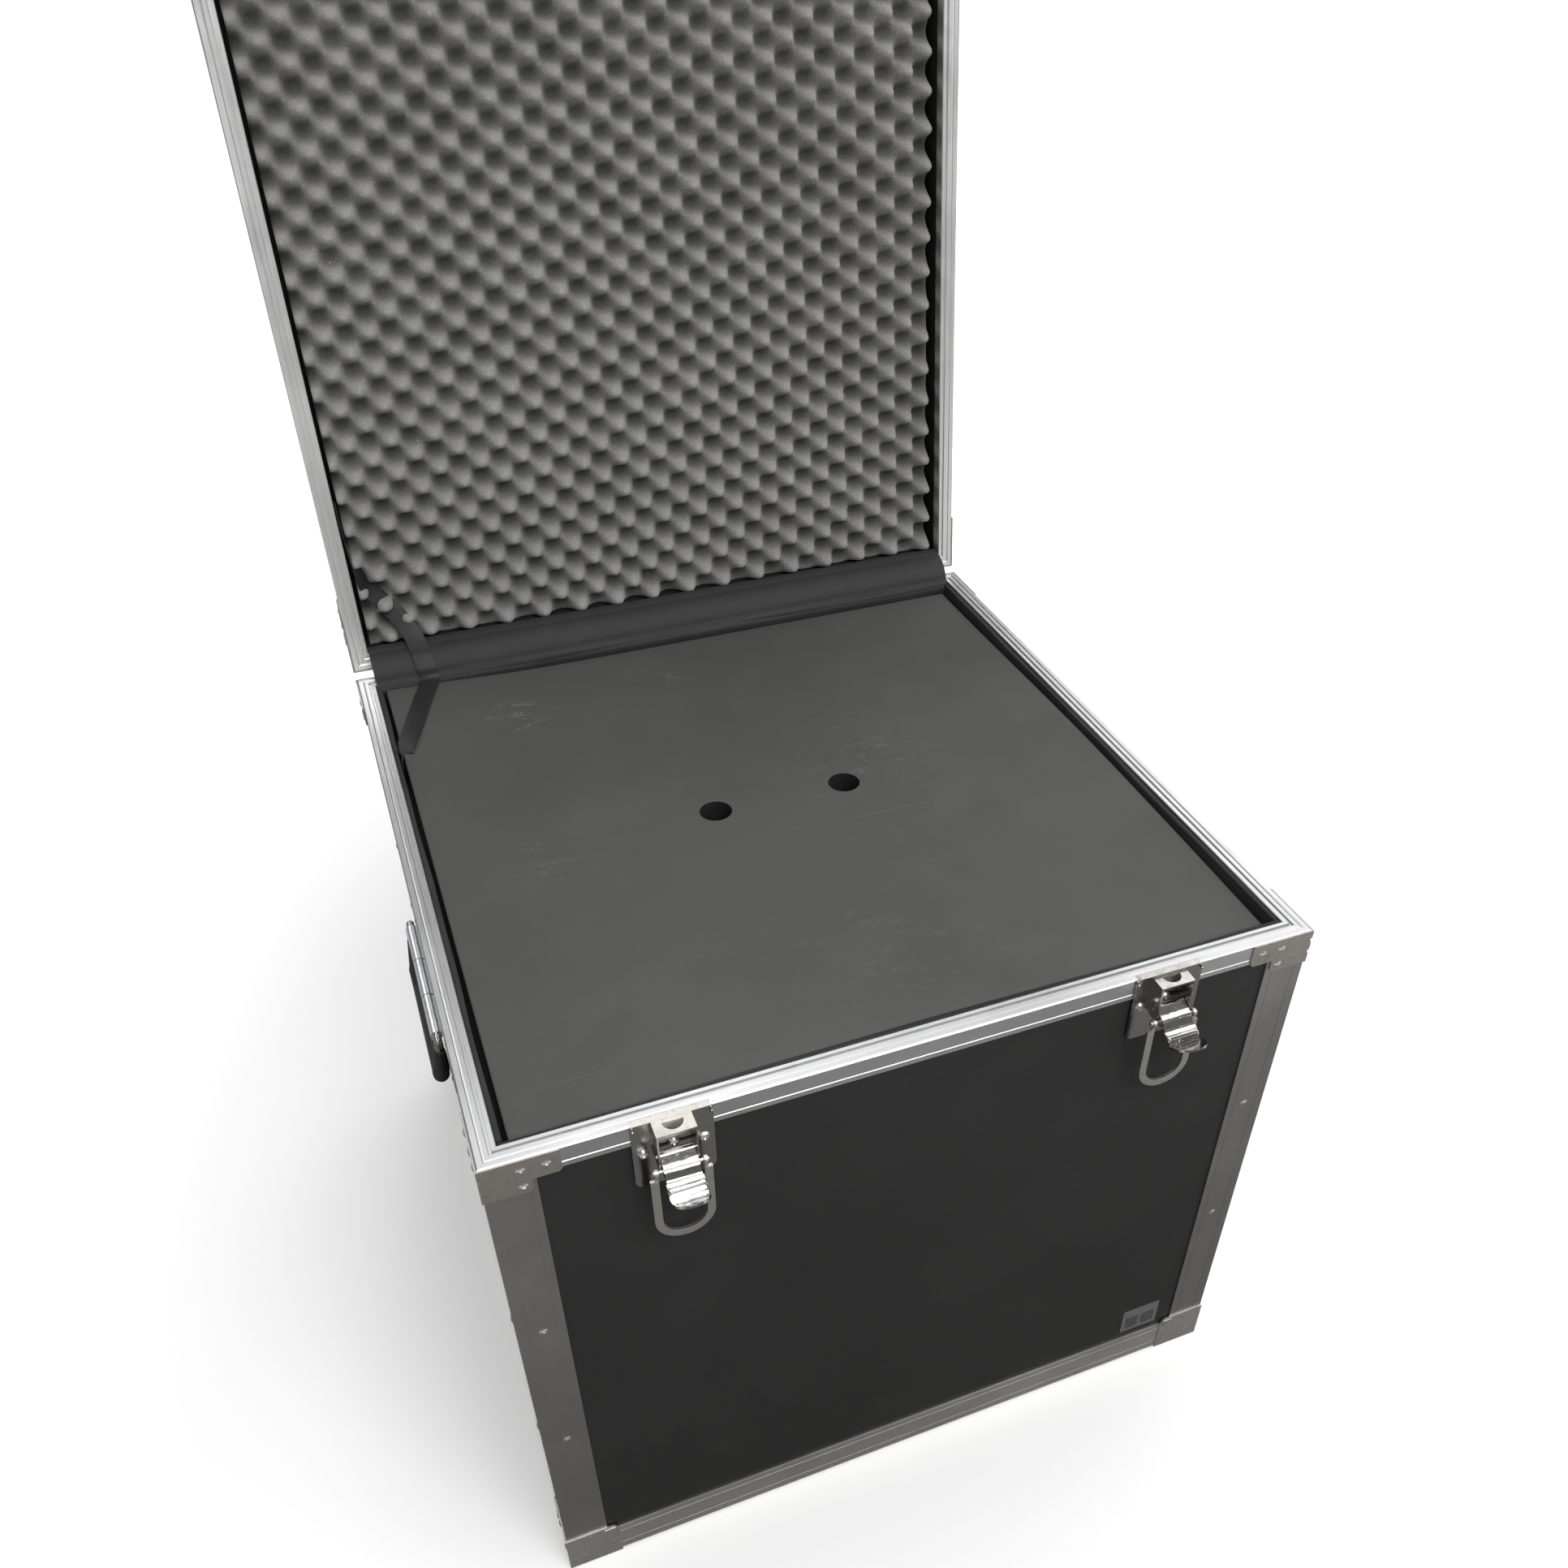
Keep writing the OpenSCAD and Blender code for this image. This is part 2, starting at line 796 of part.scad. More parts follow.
module handle_rivets() {
    color(steel) in_frame()
        for (side = [-1, 1])
            at_handle(side)
                handle_rivet_spots()
                    rivet(corner_t);
}

module handle_plate(side) {
    len = 2 * handle_rivet_y + 20;
    height = 34;
    color(steel) in_frame()
        at_handle(side)
            difference() {
                translate([plate_face, -len / 2, -height / 2])
                    rotate([0, -90, 0])
                        linear_extrude(corner_t) {
                            translate([0, 5])
                                square([height, len - 10]);
                            translate([5, 0])
                                square([height - 10, len]);
                            for (x = [5, height - 5])
                                for (y = [5, len - 5])
                                    translate([x, y])
                                        circle(5);
                        }
                handle_rivet_spots()
                    rivet_hole(corner_t);
            }
}

module left_handle_plate() { handle_plate(-1); }
module right_handle_plate() { handle_plate(1); }

// Three rolled barrels that carry the rod, each on its own foot.
module handle_barrels(side) {
    gap = 0.8;
    len = (barrel_len - 2 * gap) / 3;
    foot = handle_out + edge_t - corner_t;
    color(steel) in_frame()
        at_handle(side)
            translate([-half - handle_out, 0, 0])
                difference() {
                    for (i = [-1:1])
                        translate([0, i * (len + gap), 0])
                            union() {
                                rotate([90, 0, 0])
                                    cylinder(d = barrel_d, h = len, center = true);
                                translate([barrel_d / 2 - 1, 0.5 - len / 2, -3])
                                    cube([foot - barrel_d / 2 + 1, len - 1, 6]);
                            }
                    rotate([90, 0, 0])
                        cylinder(d = rod_d + pin_play, h = 2 * barrel_len, center = true);
                }
}

module left_handle_barrels() { handle_barrels(-1); }
module right_handle_barrels() { handle_barrels(1); }

// The bail's line, from its axis down one arm and across.
function bail_end(side) = [0, side * bail_half_top, 0];
function bail_corner(side) = [-3.4, side * bail_half_low, -bail_drop];

module bail_path(d) {
    for (side = [-1, 1])
        rod_between(bail_end(side), bail_corner(side), d);
    rod_between(bail_corner(-1), bail_corner(1), d);
}

module bail_rod() {
    rotate([90, 0, 0])
        cylinder(d = rod_d, h = 2 * bail_half_top, center = true);
    bail_path(rod_d);
}

module handle_bail(side) {
    color(steel) in_frame()
        at_handle(side)
            translate([-half - handle_out, 0, 0])
                bail_rod();
}

module left_handle_bail() { handle_bail(-1); }
module right_handle_bail() { handle_bail(1); }

// Rubber grip moulded over the arms and the bar of the bail, stopping short of the barrels.
module handle_grip(side) {
    collar = 20;
    color(black_rubber) in_frame()
        at_handle(side)
            translate([-half - handle_out, 0, 0])
                difference() {
                    bail_path(grip_d);
                    bail_rod();
                    translate([-20, -barrel_len, -collar])
                        cube([40, 2 * barrel_len, 40]);
                }
}

module left_handle_grip() { handle_grip(-1); }
module right_handle_grip() { handle_grip(1); }

// ---------- hinges ----------

knuckles = 5;
knuckle_gap = 0.4;

module at_hinges() {
    for (side = [-1, 1])
        translate([side * hinge_x, 0, 0])
            children();
}

// One leaf as it is on the closed case. up is 1 for the lid's leaf and -1 for the base's.
module hinge_leaf(up, first) {
    pitch = leaf_w / knuckles;
    lift = 2.2;
    difference() {
        union() {
            translate([-leaf_w / 2, half, hinge_z + (up > 0 ? lift : -leaf_h)])
                cube([leaf_w, edge_t, leaf_h - lift]);
            for (i = [first:2:knuckles - 1])
                translate([(i - knuckles / 2) * pitch + knuckle_gap / 2, 0, hinge_z]) {
                    translate([0, hinge_y, 0])
                        rotate([0, 90, 0])
                            cylinder(d = knuckle_d, h = pitch - knuckle_gap);
                    translate([0, half, up > 0 ? 1.2 : -3.3])
                        cube([pitch - knuckle_gap, hinge_back, 2.1]);
                }
        }
        translate([0, hinge_y, hinge_z])
            rotate([0, 90, 0])
                cylinder(d = hinge_pin_d + pin_play, h = 2 * leaf_w, center = true);
        leaf_rivet_spots(up)
            rivet_hole(edge_t);
    }
}

module leaf_rivet_spots(up) {
    for (x = [-24, 0, 24])
        translate([x, half, hinge_z + up * (leaf_h - 10 - abs(x) / 4)])
            rotate([-90, 0, 0])
                children();
}

module hinge_rivet_holes() {
    at_hinges()
        leaf_rivet_spots(-1)
            rivet_hole(edge_t);
}

module base_hinge_leaves() {
    color(steel) in_frame()
        at_hinges()
            hinge_leaf(-1, 0);
}

module hinge_rivets() {
    color(steel) in_frame()
        at_hinges()
            leaf_rivet_spots(-1)
                rivet(edge_t);
}

module hinge_pins() {
    color(steel) in_frame()
        at_hinges()
            translate([0, hinge_y, hinge_z])
                rotate([0, 90, 0])
                    cylinder(d = hinge_pin_d, h = leaf_w + 2, center = true);
}

// ---------- strap and flap ends on the base ----------

strap_y = 165;

module base_strap_end() {
    wall_x = lining_in - half;
    color(black_rubber) in_frame() {
        translate([wall_x, strap_y - strap_w / 2, pad_top - 16])
            cube([strap_t, strap_w, 20]);
        translate([wall_x + strap_t, strap_y, pad_top - 9])
            rotate([0, 90, 0])
                cylinder(d = 9, h = 1);
    }
}

module base_flap_strip() {
    len = case_w - 2 * lining_in - 2;
    color(black_rubber) in_frame()
        translate([-len / 2, half - lining_in - 0.8, base_h - 8])
            cube([len, 0.8, 6]);
}

// ---------- lid ----------

// Swings a part of the closed lid to its open place.
module open_lid() {
    translate([0, hinge_y, hinge_z])
        rotate([-lid_open, 0, 0])
            translate([0, -hinge_y, -hinge_z])
                children();
}

// Turns a shell upside down onto the base and opens it.
module lid_shell() {
    open_lid()
        translate([0, 0, lid_z])
            mirror([0, 0, 1])
                children();
}

module lid_panel(side) {
    color(black_laminate) in_frame()
        open_lid()
            difference() {
                translate([0, 0, lid_z])
                    mirror([0, 0, 1])
                        difference() {
                            wall_panel(lid_h, side);
                            shell_rivet_holes(lid_h, []);
                        }
                catch_screw_holes();
                lid_hinge_holes();
            }
}

module lid_front_panel() { lid_panel(0); }
module lid_right_panel() { lid_panel(1); }
module lid_back_panel() { lid_panel(2); }
module lid_left_panel() { lid_panel(3); }

module lid_top_panel() {
    color(black_laminate) in_frame()
        lid_shell()
            difference() {
                end_panel();
                shell_rivet_holes(lid_h, []);
            }
}

module lid_rim_rails() {
    color(aluminium) in_frame()
        open_lid()
            difference() {
                translate([0, 0, lid_z])
                    mirror([0, 0, 1])
                        rim_rails(lid_h, true, []);
                catch_screw_holes();
                lid_hinge_holes();
            }
}

module lid_corner_edges() { color(aluminium) in_frame() lid_shell() corner_edges(lid_h, []); }
module lid_top_edges() { color(aluminium) in_frame() lid_shell() end_edges(lid_h, []); }
module lid_rim_brackets() { color(aluminium) in_frame() lid_shell() rim_brackets(lid_h); }
module lid_corner_caps() { color(aluminium) in_frame() lid_shell() corner_caps(lid_h); }
module lid_rivets() { color(steel) in_frame() lid_shell() shell_rivets(lid_h, []); }

module egg_crate_foam() {
    size = case_w - 2 * lining_in;
    color(grey_foam) in_frame()
        lid_shell()
            translate([-size / 2, -size / 2, floor_top])
                cube([size, size, lid_h - floor_top - 4]);
}

// Catches on the lid's front, as on the closed case: a plate with a shelf and an upturned lip.
catch_w = 36;
catch_h = 34;
catch_low = base_h + 3;

module catch_screw_spots() {
    for (x = [-12, 12])
        translate([x, 0, catch_low + 7])
            rotate([90, 0, 0])
                children();
}

module catch_screw_holes() {
    for (side = [-1, 1])
        at_latch(side)
            catch_screw_spots()
                rivet_hole(latch_t);
}

module catch_screws() {
    color(steel) in_frame()
        open_lid()
            for (side = [-1, 1])
                at_latch(side)
                    catch_screw_spots()
                        screw(latch_t);
}

module latch_catch(side) {
    lip_w = 10;
    shelf_z = pivot[1] + pin_shut[1] + loop_len - loop_band - 2.5;
    shelf_t = 1.3;
    lip_out = 8.5;
    lip_h = 8;
    color(steel) in_frame()
        open_lid()
            at_latch(side)
                difference() {
                    union() {
                        plate_out(latch_t)
                            translate([-catch_w / 2, catch_low])
                                rounded_top(catch_w, catch_h, 4);
                        translate([-lip_w / 2, -lip_out - latch_t, shelf_z])
                            cube([lip_w, lip_out + latch_t, shelf_t]);
                        translate([-lip_w / 2, -lip_out - latch_t, shelf_z])
                            cube([lip_w, latch_t, lip_h]);
                    }
                    catch_screw_spots()
                        rivet_hole(latch_t);
                }
}

module left_catch() { latch_catch(-1); }
module right_catch() { latch_catch(1); }

module lid_hinge_holes() {
    at_hinges()
        leaf_rivet_spots(1)
            rivet_hole(edge_t);
}

module lid_hinge_leaves() {
    color(steel) in_frame()
        open_lid()
            at_hinges()
                hinge_leaf(1, 1);
}

module lid_hinge_rivets() {
    color(steel) in_frame()
        open_lid()
            at_hinges()
                leaf_rivet_spots(1)
                    rivet(edge_t);
}

module lid_strap_end() {
    wall_x = rim_w - half;
    color(black_rubber) in_frame()
        open_lid() {
            translate([wall_x, strap_y - 20 - strap_w / 2, base_h + seam + 2])
                cube([strap_t, strap_w, 9]);
            translate([wall_x + strap_t, strap_y - 20, base_h + seam + 6.5])
                rotate([0, 90, 0])
                    cylinder(d = 8, h = 1);
        }
}

module lid_flap_strip() {
    len = case_w - 2 * lining_in - 2;
    color(black_rubber) in_frame()
        open_lid()
            translate([-len / 2, half - rim_w - 0.8, base_h + seam + 2])
                cube([len, 0.8, 6]);
}

base_front_panel();
base_back_panel();
base_left_panel();
base_right_panel();
base_floor_panel();
base_rim_rails();
base_corner_edges();
base_bottom_edges();
base_rim_brackets();
base_corner_caps();
base_rivets();
base_wall_lining();
base_floor_lining();
pad_ledge();
lift_out_pad();
label_plate();
left_latch_plate();
right_latch_plate();
latch_screws();
latch_pivot_pins();
left_latch_lever();
right_latch_lever();
left_loop_pin();
right_loop_pin();
left_pull_loop();
right_pull_loop();
left_handle_plate();
right_handle_plate();
left_handle_barrels();
right_handle_barrels();
left_handle_bail();
right_handle_bail();
left_handle_grip();
right_handle_grip();
handle_rivets();
base_hinge_leaves();
hinge_pins();
hinge_rivets();
base_strap_end();
base_flap_strip();
lid_top_panel();
lid_front_panel();
lid_back_panel();
lid_left_panel();
lid_right_panel();
lid_rim_rails();
lid_corner_edges();
lid_top_edges();
lid_rim_brackets();
lid_corner_caps();
lid_rivets();
egg_crate_foam();
left_catch();
right_catch();
catch_screws();
lid_hinge_leaves();
lid_hinge_rivets();
lid_strap_end();
lid_flap_strip();
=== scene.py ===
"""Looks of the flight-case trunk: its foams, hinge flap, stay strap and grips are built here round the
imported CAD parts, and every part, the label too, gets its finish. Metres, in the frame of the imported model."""

import json
import math

import bmesh
import bpy
import numpy as np
from mathutils import Matrix, Vector


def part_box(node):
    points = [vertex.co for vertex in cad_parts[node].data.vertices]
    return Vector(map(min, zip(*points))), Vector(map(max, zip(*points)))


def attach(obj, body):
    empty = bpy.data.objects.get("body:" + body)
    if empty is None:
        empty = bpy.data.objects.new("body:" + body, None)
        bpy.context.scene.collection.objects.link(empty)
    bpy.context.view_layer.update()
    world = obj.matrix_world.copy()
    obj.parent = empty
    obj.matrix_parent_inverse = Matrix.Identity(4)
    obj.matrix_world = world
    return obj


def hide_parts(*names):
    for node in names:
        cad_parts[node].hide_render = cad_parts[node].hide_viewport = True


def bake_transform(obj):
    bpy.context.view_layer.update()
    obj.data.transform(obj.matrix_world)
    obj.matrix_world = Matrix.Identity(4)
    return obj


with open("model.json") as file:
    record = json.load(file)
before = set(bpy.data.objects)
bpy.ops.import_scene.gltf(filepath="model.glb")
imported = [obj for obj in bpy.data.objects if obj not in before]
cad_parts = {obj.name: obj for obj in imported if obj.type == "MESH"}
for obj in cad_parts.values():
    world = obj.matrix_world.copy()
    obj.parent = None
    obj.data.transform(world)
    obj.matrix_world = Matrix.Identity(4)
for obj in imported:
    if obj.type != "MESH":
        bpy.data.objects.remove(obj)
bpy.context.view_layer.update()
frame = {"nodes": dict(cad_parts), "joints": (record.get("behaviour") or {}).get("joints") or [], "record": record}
nodes = frame["nodes"]

MM = 0.001

# ---------- places taken from the frame ----------

PANEL_LO, PANEL_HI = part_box("base_floor_panel")
MID_Y = (PANEL_LO.y + PANEL_HI.y) / 2          # the centre of the base
RIM_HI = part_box("base_rim_rails")[1]
HALF = RIM_HI.x                                # half the width of the case
RIM_Z = RIM_HI.z                               # the top of the base's rim
RIM_W = 15 * MM                                # width of a rim rail
LINING_IN = 19 * MM                            # from the outside of the case to the face of the lining
INNER = HALF - LINING_IN                       # half the width between the linings
PIT_DEPTH = 26 * MM                            # of the egg-crate foam
HOLE_R = 13 * MM                               # radius and places of the pad's finger holes
HOLE_X = 55.5 * MM
HOLE_Y = -3 * MM

joints = {joint["name"]: joint for joint in frame["joints"]}
HINGE = Vector(joints["lid_hinge"]["pos_m"])
LID_OPEN = math.radians(-joints["lid_hinge"]["range_deg"][0])
UP = Vector((0, -math.cos(LID_OPEN), math.sin(LID_OPEN)))    # along the open lid, away from its hinges
DEEP = Vector((0, math.sin(LID_OPEN), math.cos(LID_OPEN)))   # into the open lid, square to its rim


def on_base(x, y, z):
    """A point given from the middle of the base."""
    return Vector((x, y + MID_Y, z))


def on_lid(x, up, deep):
    """A point of the open lid: up from the hinge axis along the rim, deep into the lid."""
    return Vector((x, HINGE.y, HINGE.z)) + UP * float(up) + DEEP * float(deep)


def lid_box(node):
    """Lowest and highest x, up and deep of a CAD node of the lid."""
    points = [v.co - HINGE for v in nodes[node].data.vertices]
    rows = [(p.x, p.dot(UP), p.dot(DEEP)) for p in points]
    return [min(c) for c in zip(*rows)], [max(c) for c in zip(*rows)]


# ---------- materials ----------


def material(name, colour, roughness, metallic=0.0, specular=0.5):
    """A Principled material and its shader node."""
    mat = bpy.data.materials.new(name)
    mat.use_nodes = True
    bsdf = mat.node_tree.nodes["Principled BSDF"]
    bsdf.inputs["Base Color"].default_value = (*colour, 1)
    bsdf.inputs["Roughness"].default_value = roughness
    bsdf.inputs["Metallic"].default_value = metallic
    bsdf.inputs["Specular IOR Level"].default_value = specular
    return mat, bsdf


def add(mat, kind, inputs=None, **settings):
    """Adds a shader node. inputs maps an input's name or number to a value or to another node's output."""
    node = mat.node_tree.nodes.new("ShaderNode" + kind)
    for key, value in settings.items():
        setattr(node, key, value)
    for key, value in (inputs or {}).items():
        if isinstance(value, bpy.types.NodeSocket):
            mat.node_tree.links.new(value, node.inputs[key])
        else:
            node.inputs[key].default_value = value
    return node


def place(mat):
    """The point being shaded, in metres in the frame."""
    return add(mat, "TexCoord").outputs["Object"]


def from_base_middle(mat):
    """The point being shaded, from the middle of the base's underside."""
    return scaled(mat, place(mat), (1, 1, 1), shift=(0, -MID_Y, 0))


def scaled(mat, vector, scale, turn=(0, 0, 0), shift=(0, 0, 0)):
    """Scales, turns and then shifts a vector."""
    inputs = {"Vector": vector, "Scale": scale, "Rotation": turn, "Location": shift}
    return add(mat, "Mapping", inputs).outputs["Vector"]


def noise(mat, vector, scale, detail=3.0, roughness=0.5):
    """Cloudy noise from 0 to 1, with scale clouds to the metre."""
    inputs = {"Vector": vector, "Scale": scale, "Detail": detail, "Roughness": roughness}
    return add(mat, "TexNoise", inputs).outputs["Fac"]


def cells(mat, vector, scale, feature="F1"):
    """Distance to the nearest point of a random scatter: pores and pebbles."""
    inputs = {"Vector": vector, "Scale": scale}
    return add(mat, "TexVoronoi", inputs, feature=feature).outputs["Distance"]


def distance(mat, a, b):
    """Distance between two points."""
    return add(mat, "VectorMath", {0: a, 1: b}, operation="DISTANCE").outputs["Value"]


def math_node(mat, operation, a, b=0.0):
    """One sum on values or outputs."""
    return add(mat, "Math", {0: a, 1: b}, operation=operation).outputs[0]


def spread(mat, value, low, high, to_low, to_high):
    """Maps value from low..high to to_low..to_high, held at the ends."""
    inputs = {"Value": value, "From Min": low, "From Max": high, "To Min": to_low, "To Max": to_high}
    return add(mat, "MapRange", inputs).outputs["Result"]


def mix_colour(mat, fac, a, b):
    """Mixes two colours, each a triple or a colour output."""
    node = add(mat, "Mix", data_type="RGBA")
    for socket, value in ((node.inputs["Factor"], fac), (node.inputs[6], a), (node.inputs[7], b)):
        if isinstance(value, bpy.types.NodeSocket):
            mat.node_tree.links.new(value, socket)
        else:
            socket.default_value = (*value, 1) if isinstance(value, tuple) else value
    return node.outputs[2]


def shaded(colour, share):
    """A darker colour, or a lighter one where share is over 1."""
    return tuple(c * share for c in colour)


def link(mat, output, bsdf, name):
    """Feeds an output into a named input of the shader."""
    mat.node_tree.links.new(output, bsdf.inputs[name])


def bumps(mat, bsdf, *layers):
    """Stacks bump layers, each (height, depth in metres, strength)."""
    normal = None
    for height, depth, strength in layers:
        inputs = {"Height": height, "Distance": depth, "Strength": strength}
        if normal is not None:
            inputs["Normal"] = normal
        normal = add(mat, "Bump", inputs).outputs["Normal"]
    link(mat, normal, bsdf, "Normal")


def drawn_along(mat, where, post=False):
    """Cross-section coordinates of an extrusion, so that noise in them makes lines along its length. A ring
    of bars runs round the case, and a post stands square to it."""
    parts = add(mat, "SeparateXYZ", {"Vector": where})
    x = math_node(mat, "ABSOLUTE", parts.outputs["X"])
    y = math_node(mat, "ABSOLUTE", parts.outputs["Y"])
    along = 0.012                # how little the lines change along the bar
    if post:
        inputs = {"X": x, "Y": y, "Z": math_node(mat, "MULTIPLY", parts.outputs["Z"], along)}
    else:
        across = math_node(mat, "MAXIMUM", x, y)
        length = math_node(mat, "MULTIPLY", math_node(mat, "MINIMUM", x, y), along)
        inputs = {"X": across, "Y": length, "Z": parts.outputs["Z"]}
    return add(mat, "CombineXYZ", inputs).outputs["Vector"]


def extrusion(name, colour, roughness, of_lid=False, post=False):
    """Satin anodised aluminium: drawn lines along the bar, cloudy wear and a few darker smudges."""
    mat, bsdf = material(name, colour, roughness, 1.0)
    where = from_base_middle(mat)
    if of_lid:
        inputs = {"Vector": place(mat), "Center": HINGE, "Axis": (1, 0, 0), "Angle": LID_OPEN}
        closed = add(mat, "VectorRotate", inputs).outputs[0]
        where = scaled(mat, closed, (1, 1, 1), shift=(0, -MID_Y, 0))
    drawn = drawn_along(mat, where, post)
    lines = noise(mat, drawn, 1900, 2.0)
    fine_lines = noise(mat, drawn, 5200, 1.0)
    clouds = noise(mat, where, 9, 4.0, 0.6)
    smudges = noise(mat, where, 55, 5.0, 0.65)
    tone = mix_colour(mat, spread(mat, clouds, 0.35, 0.7, 0, 1), shaded(colour, 0.9), colour)
    tone = mix_colour(mat, spread(mat, smudges, 0.6, 0.78, 0, 0.35), tone, shaded(colour, 0.62))
    link(mat, tone, bsdf, "Base Color")
    rough = math_node(mat, "ADD", spread(mat, lines, 0.3, 0.7, -0.05, 0.05),
                      spread(mat, clouds, 0.3, 0.7, roughness - 0.05, roughness + 0.08))
    link(mat, rough, bsdf, "Roughness")
    bumps(mat, bsdf, (lines, 0.00006, 0.5), (fine_lines, 0.00002, 0.4))
    return mat


def plated(name, colour, roughness, grain, smear=0.12, sway=0.22):
    """Plated sheet steel: a fine grain, ripples from the press, cloudy stains and fingerprints. smear is how
    much rougher the prints are, and sway is the strength of the ripples."""
    mat, bsdf = material(name, colour, roughness, 1.0)
    where = place(mat)
    fine = noise(mat, where, 2600, 2.0)
    ripple = noise(mat, where, 120, 2.0)
    prints = noise(mat, where, 65, 5.0, 0.7)
    stains = noise(mat, where, 210, 3.0, 0.6)
    tone = mix_colour(mat, spread(mat, prints, 0.45, 0.8, 0, 0.5), colour, shaded(colour, 0.72))
    tone = mix_colour(mat, spread(mat, stains, 0.52, 0.74, 0, 0.45), tone, shaded(colour, 0.6))
    link(mat, tone, bsdf, "Base Color")
    rough = math_node(mat, "ADD", spread(mat, prints, 0.4, 0.75, roughness, roughness + smear),
                      spread(mat, fine, 0.35, 0.65, -0.03, 0.03))
    link(mat, rough, bsdf, "Roughness")
    bumps(mat, bsdf, (ripple, 0.00035, sway), (fine, 0.00003, grain))
    return mat


def laminate():
    """Matte black laminate: a pebbled face, with rubbed patches and a few hairline scratches."""
    colour = (0.0185, 0.0183, 0.0181)
    mat, bsdf = material("laminate", colour, 0.56, 0.0, 0.28)
    where = place(mat)
    pebbles = cells(mat, where, 950.0, "SMOOTH_F1")
    fine = noise(mat, where, 1500, 2.0)
    rubbed = noise(mat, where, 7, 5.0, 0.6)
    scratch = noise(mat, scaled(mat, where, (900, 14, 60), turn=(0.3, 0.5, 0.6)), 1, 2.0, 0.4)
    marks = math_node(mat, "MULTIPLY", spread(mat, scratch, 0.74, 0.77, 0, 1),
                      spread(mat, rubbed, 0.5, 0.62, 0, 0.5))
    tone = mix_colour(mat, spread(mat, rubbed, 0.35, 0.75, 0, 1), colour, (0.0235, 0.0233, 0.023))
    tone = mix_colour(mat, marks, tone, (0.06, 0.06, 0.059))
    link(mat, tone, bsdf, "Base Color")
    link(mat, spread(mat, rubbed, 0.3, 0.75, 0.6, 0.5), bsdf, "Roughness")
    bumps(mat, bsdf, (pebbles, 0.00012, 0.5), (fine, 0.00004, 0.5))
    return mat


def pad_foam():
    """Smooth closed-cell foam: tight pores, a faint cloudy tone, pale scuffs, a few nicks and painted shade in its
    finger holes.
    """
    colour = (0.054, 0.0537, 0.0528)
    mat, bsdf = material("pad_foam", colour, 0.72, 0.0, 0.3)
    where = from_base_middle(mat)
    pores = cells(mat, where, 1500.0)
    clouds = noise(mat, where, 4.5, 5.0, 0.62)
    sheen = noise(mat, scaled(mat, where, (3, 9, 1), turn=(0, 0, 0.5)), 1.6, 3.0)
    tone = mix_colour(mat, spread(mat, clouds, 0.34, 0.68, 0, 1), colour, (0.068, 0.0677, 0.0663))
    scuffs = scuff_mask(mat, where)
    tone = mix_colour(mat, scuffs, tone, (0.26, 0.26, 0.255))
    for side in (-1, 1):
        # painted shade: the cut walls of the finger holes are darkened, standing in for the shade inside them
        centre = (side * HOLE_X, HOLE_Y, 0)
        level = add(mat, "VectorMath", {0: where, 1: (1, 1, 0)}, operation="MULTIPLY").outputs["Vector"]
        inside = spread(mat, distance(mat, level, centre), HOLE_R, HOLE_R + 0.3 * MM, 1, 0)
        tone = mix_colour(mat, inside, tone, (0.012, 0.012, 0.0125))
    link(mat, tone, bsdf, "Base Color")
    link(mat, spread(mat, sheen, 0.3, 0.7, 0.78, 0.62), bsdf, "Roughness")
    dents = noise(mat, where, 28, 3.0, 0.5)
    bumps(mat, bsdf, (dents, 0.0012, 0.16), (pores, 0.00006, 0.5), (scuffs, 0.0001, 0.6))
    return mat


# x and y from the middle of the base, size and strength of the pad's scuffed patches
SCUFFS = (
    (-0.172, 0.2, 0.036, 0.8),
    (-0.11, 0.235, 0.02, 0.5),
    (-0.045, 0.215, 0.05, 0.2),
    (0.09, 0.03, 0.08, 0.2),
    (-0.2, -0.02, 0.05, 0.2),
    (0.02, -0.2, 0.09, 0.15),
)


def scuff_mask(mat, where):
    """Scuffs: broken streaks inside a few patches, and rare long hairlines."""
    total = None
    face = RIM_Z - 7 * MM
    for x, y, size, strength in SCUFFS:
        away = distance(mat, where, (x, y, face))
        patch = spread(mat, away, size * 0.35, size, strength, 0)
        total = patch if total is None else math_node(mat, "MAXIMUM", total, patch)
    streaks = noise(mat, scaled(mat, where, (45, 110, 1), turn=(0, 0, 0.9)), 1, 5.0, 0.75)
    specks = noise(mat, where, 260, 4.0, 0.7)
    broken = math_node(mat, "MULTIPLY", spread(mat, streaks, 0.52, 0.66, 0, 1),
                       spread(mat, specks, 0.4, 0.62, 0, 1))
    hair = noise(mat, scaled(mat, where, (7, 900, 1), turn=(0, 0, -0.4)), 1, 1.0, 0.3)
    rare = noise(mat, where, 11, 2.0)
    hairlines = math_node(mat, "MULTIPLY", spread(mat, hair, 0.765, 0.79, 0, 0.25),
                          spread(mat, rare, 0.55, 0.62, 0, 1))
    return math_node(mat, "MAXIMUM", math_node(mat, "MULTIPLY", total, broken), hairlines)


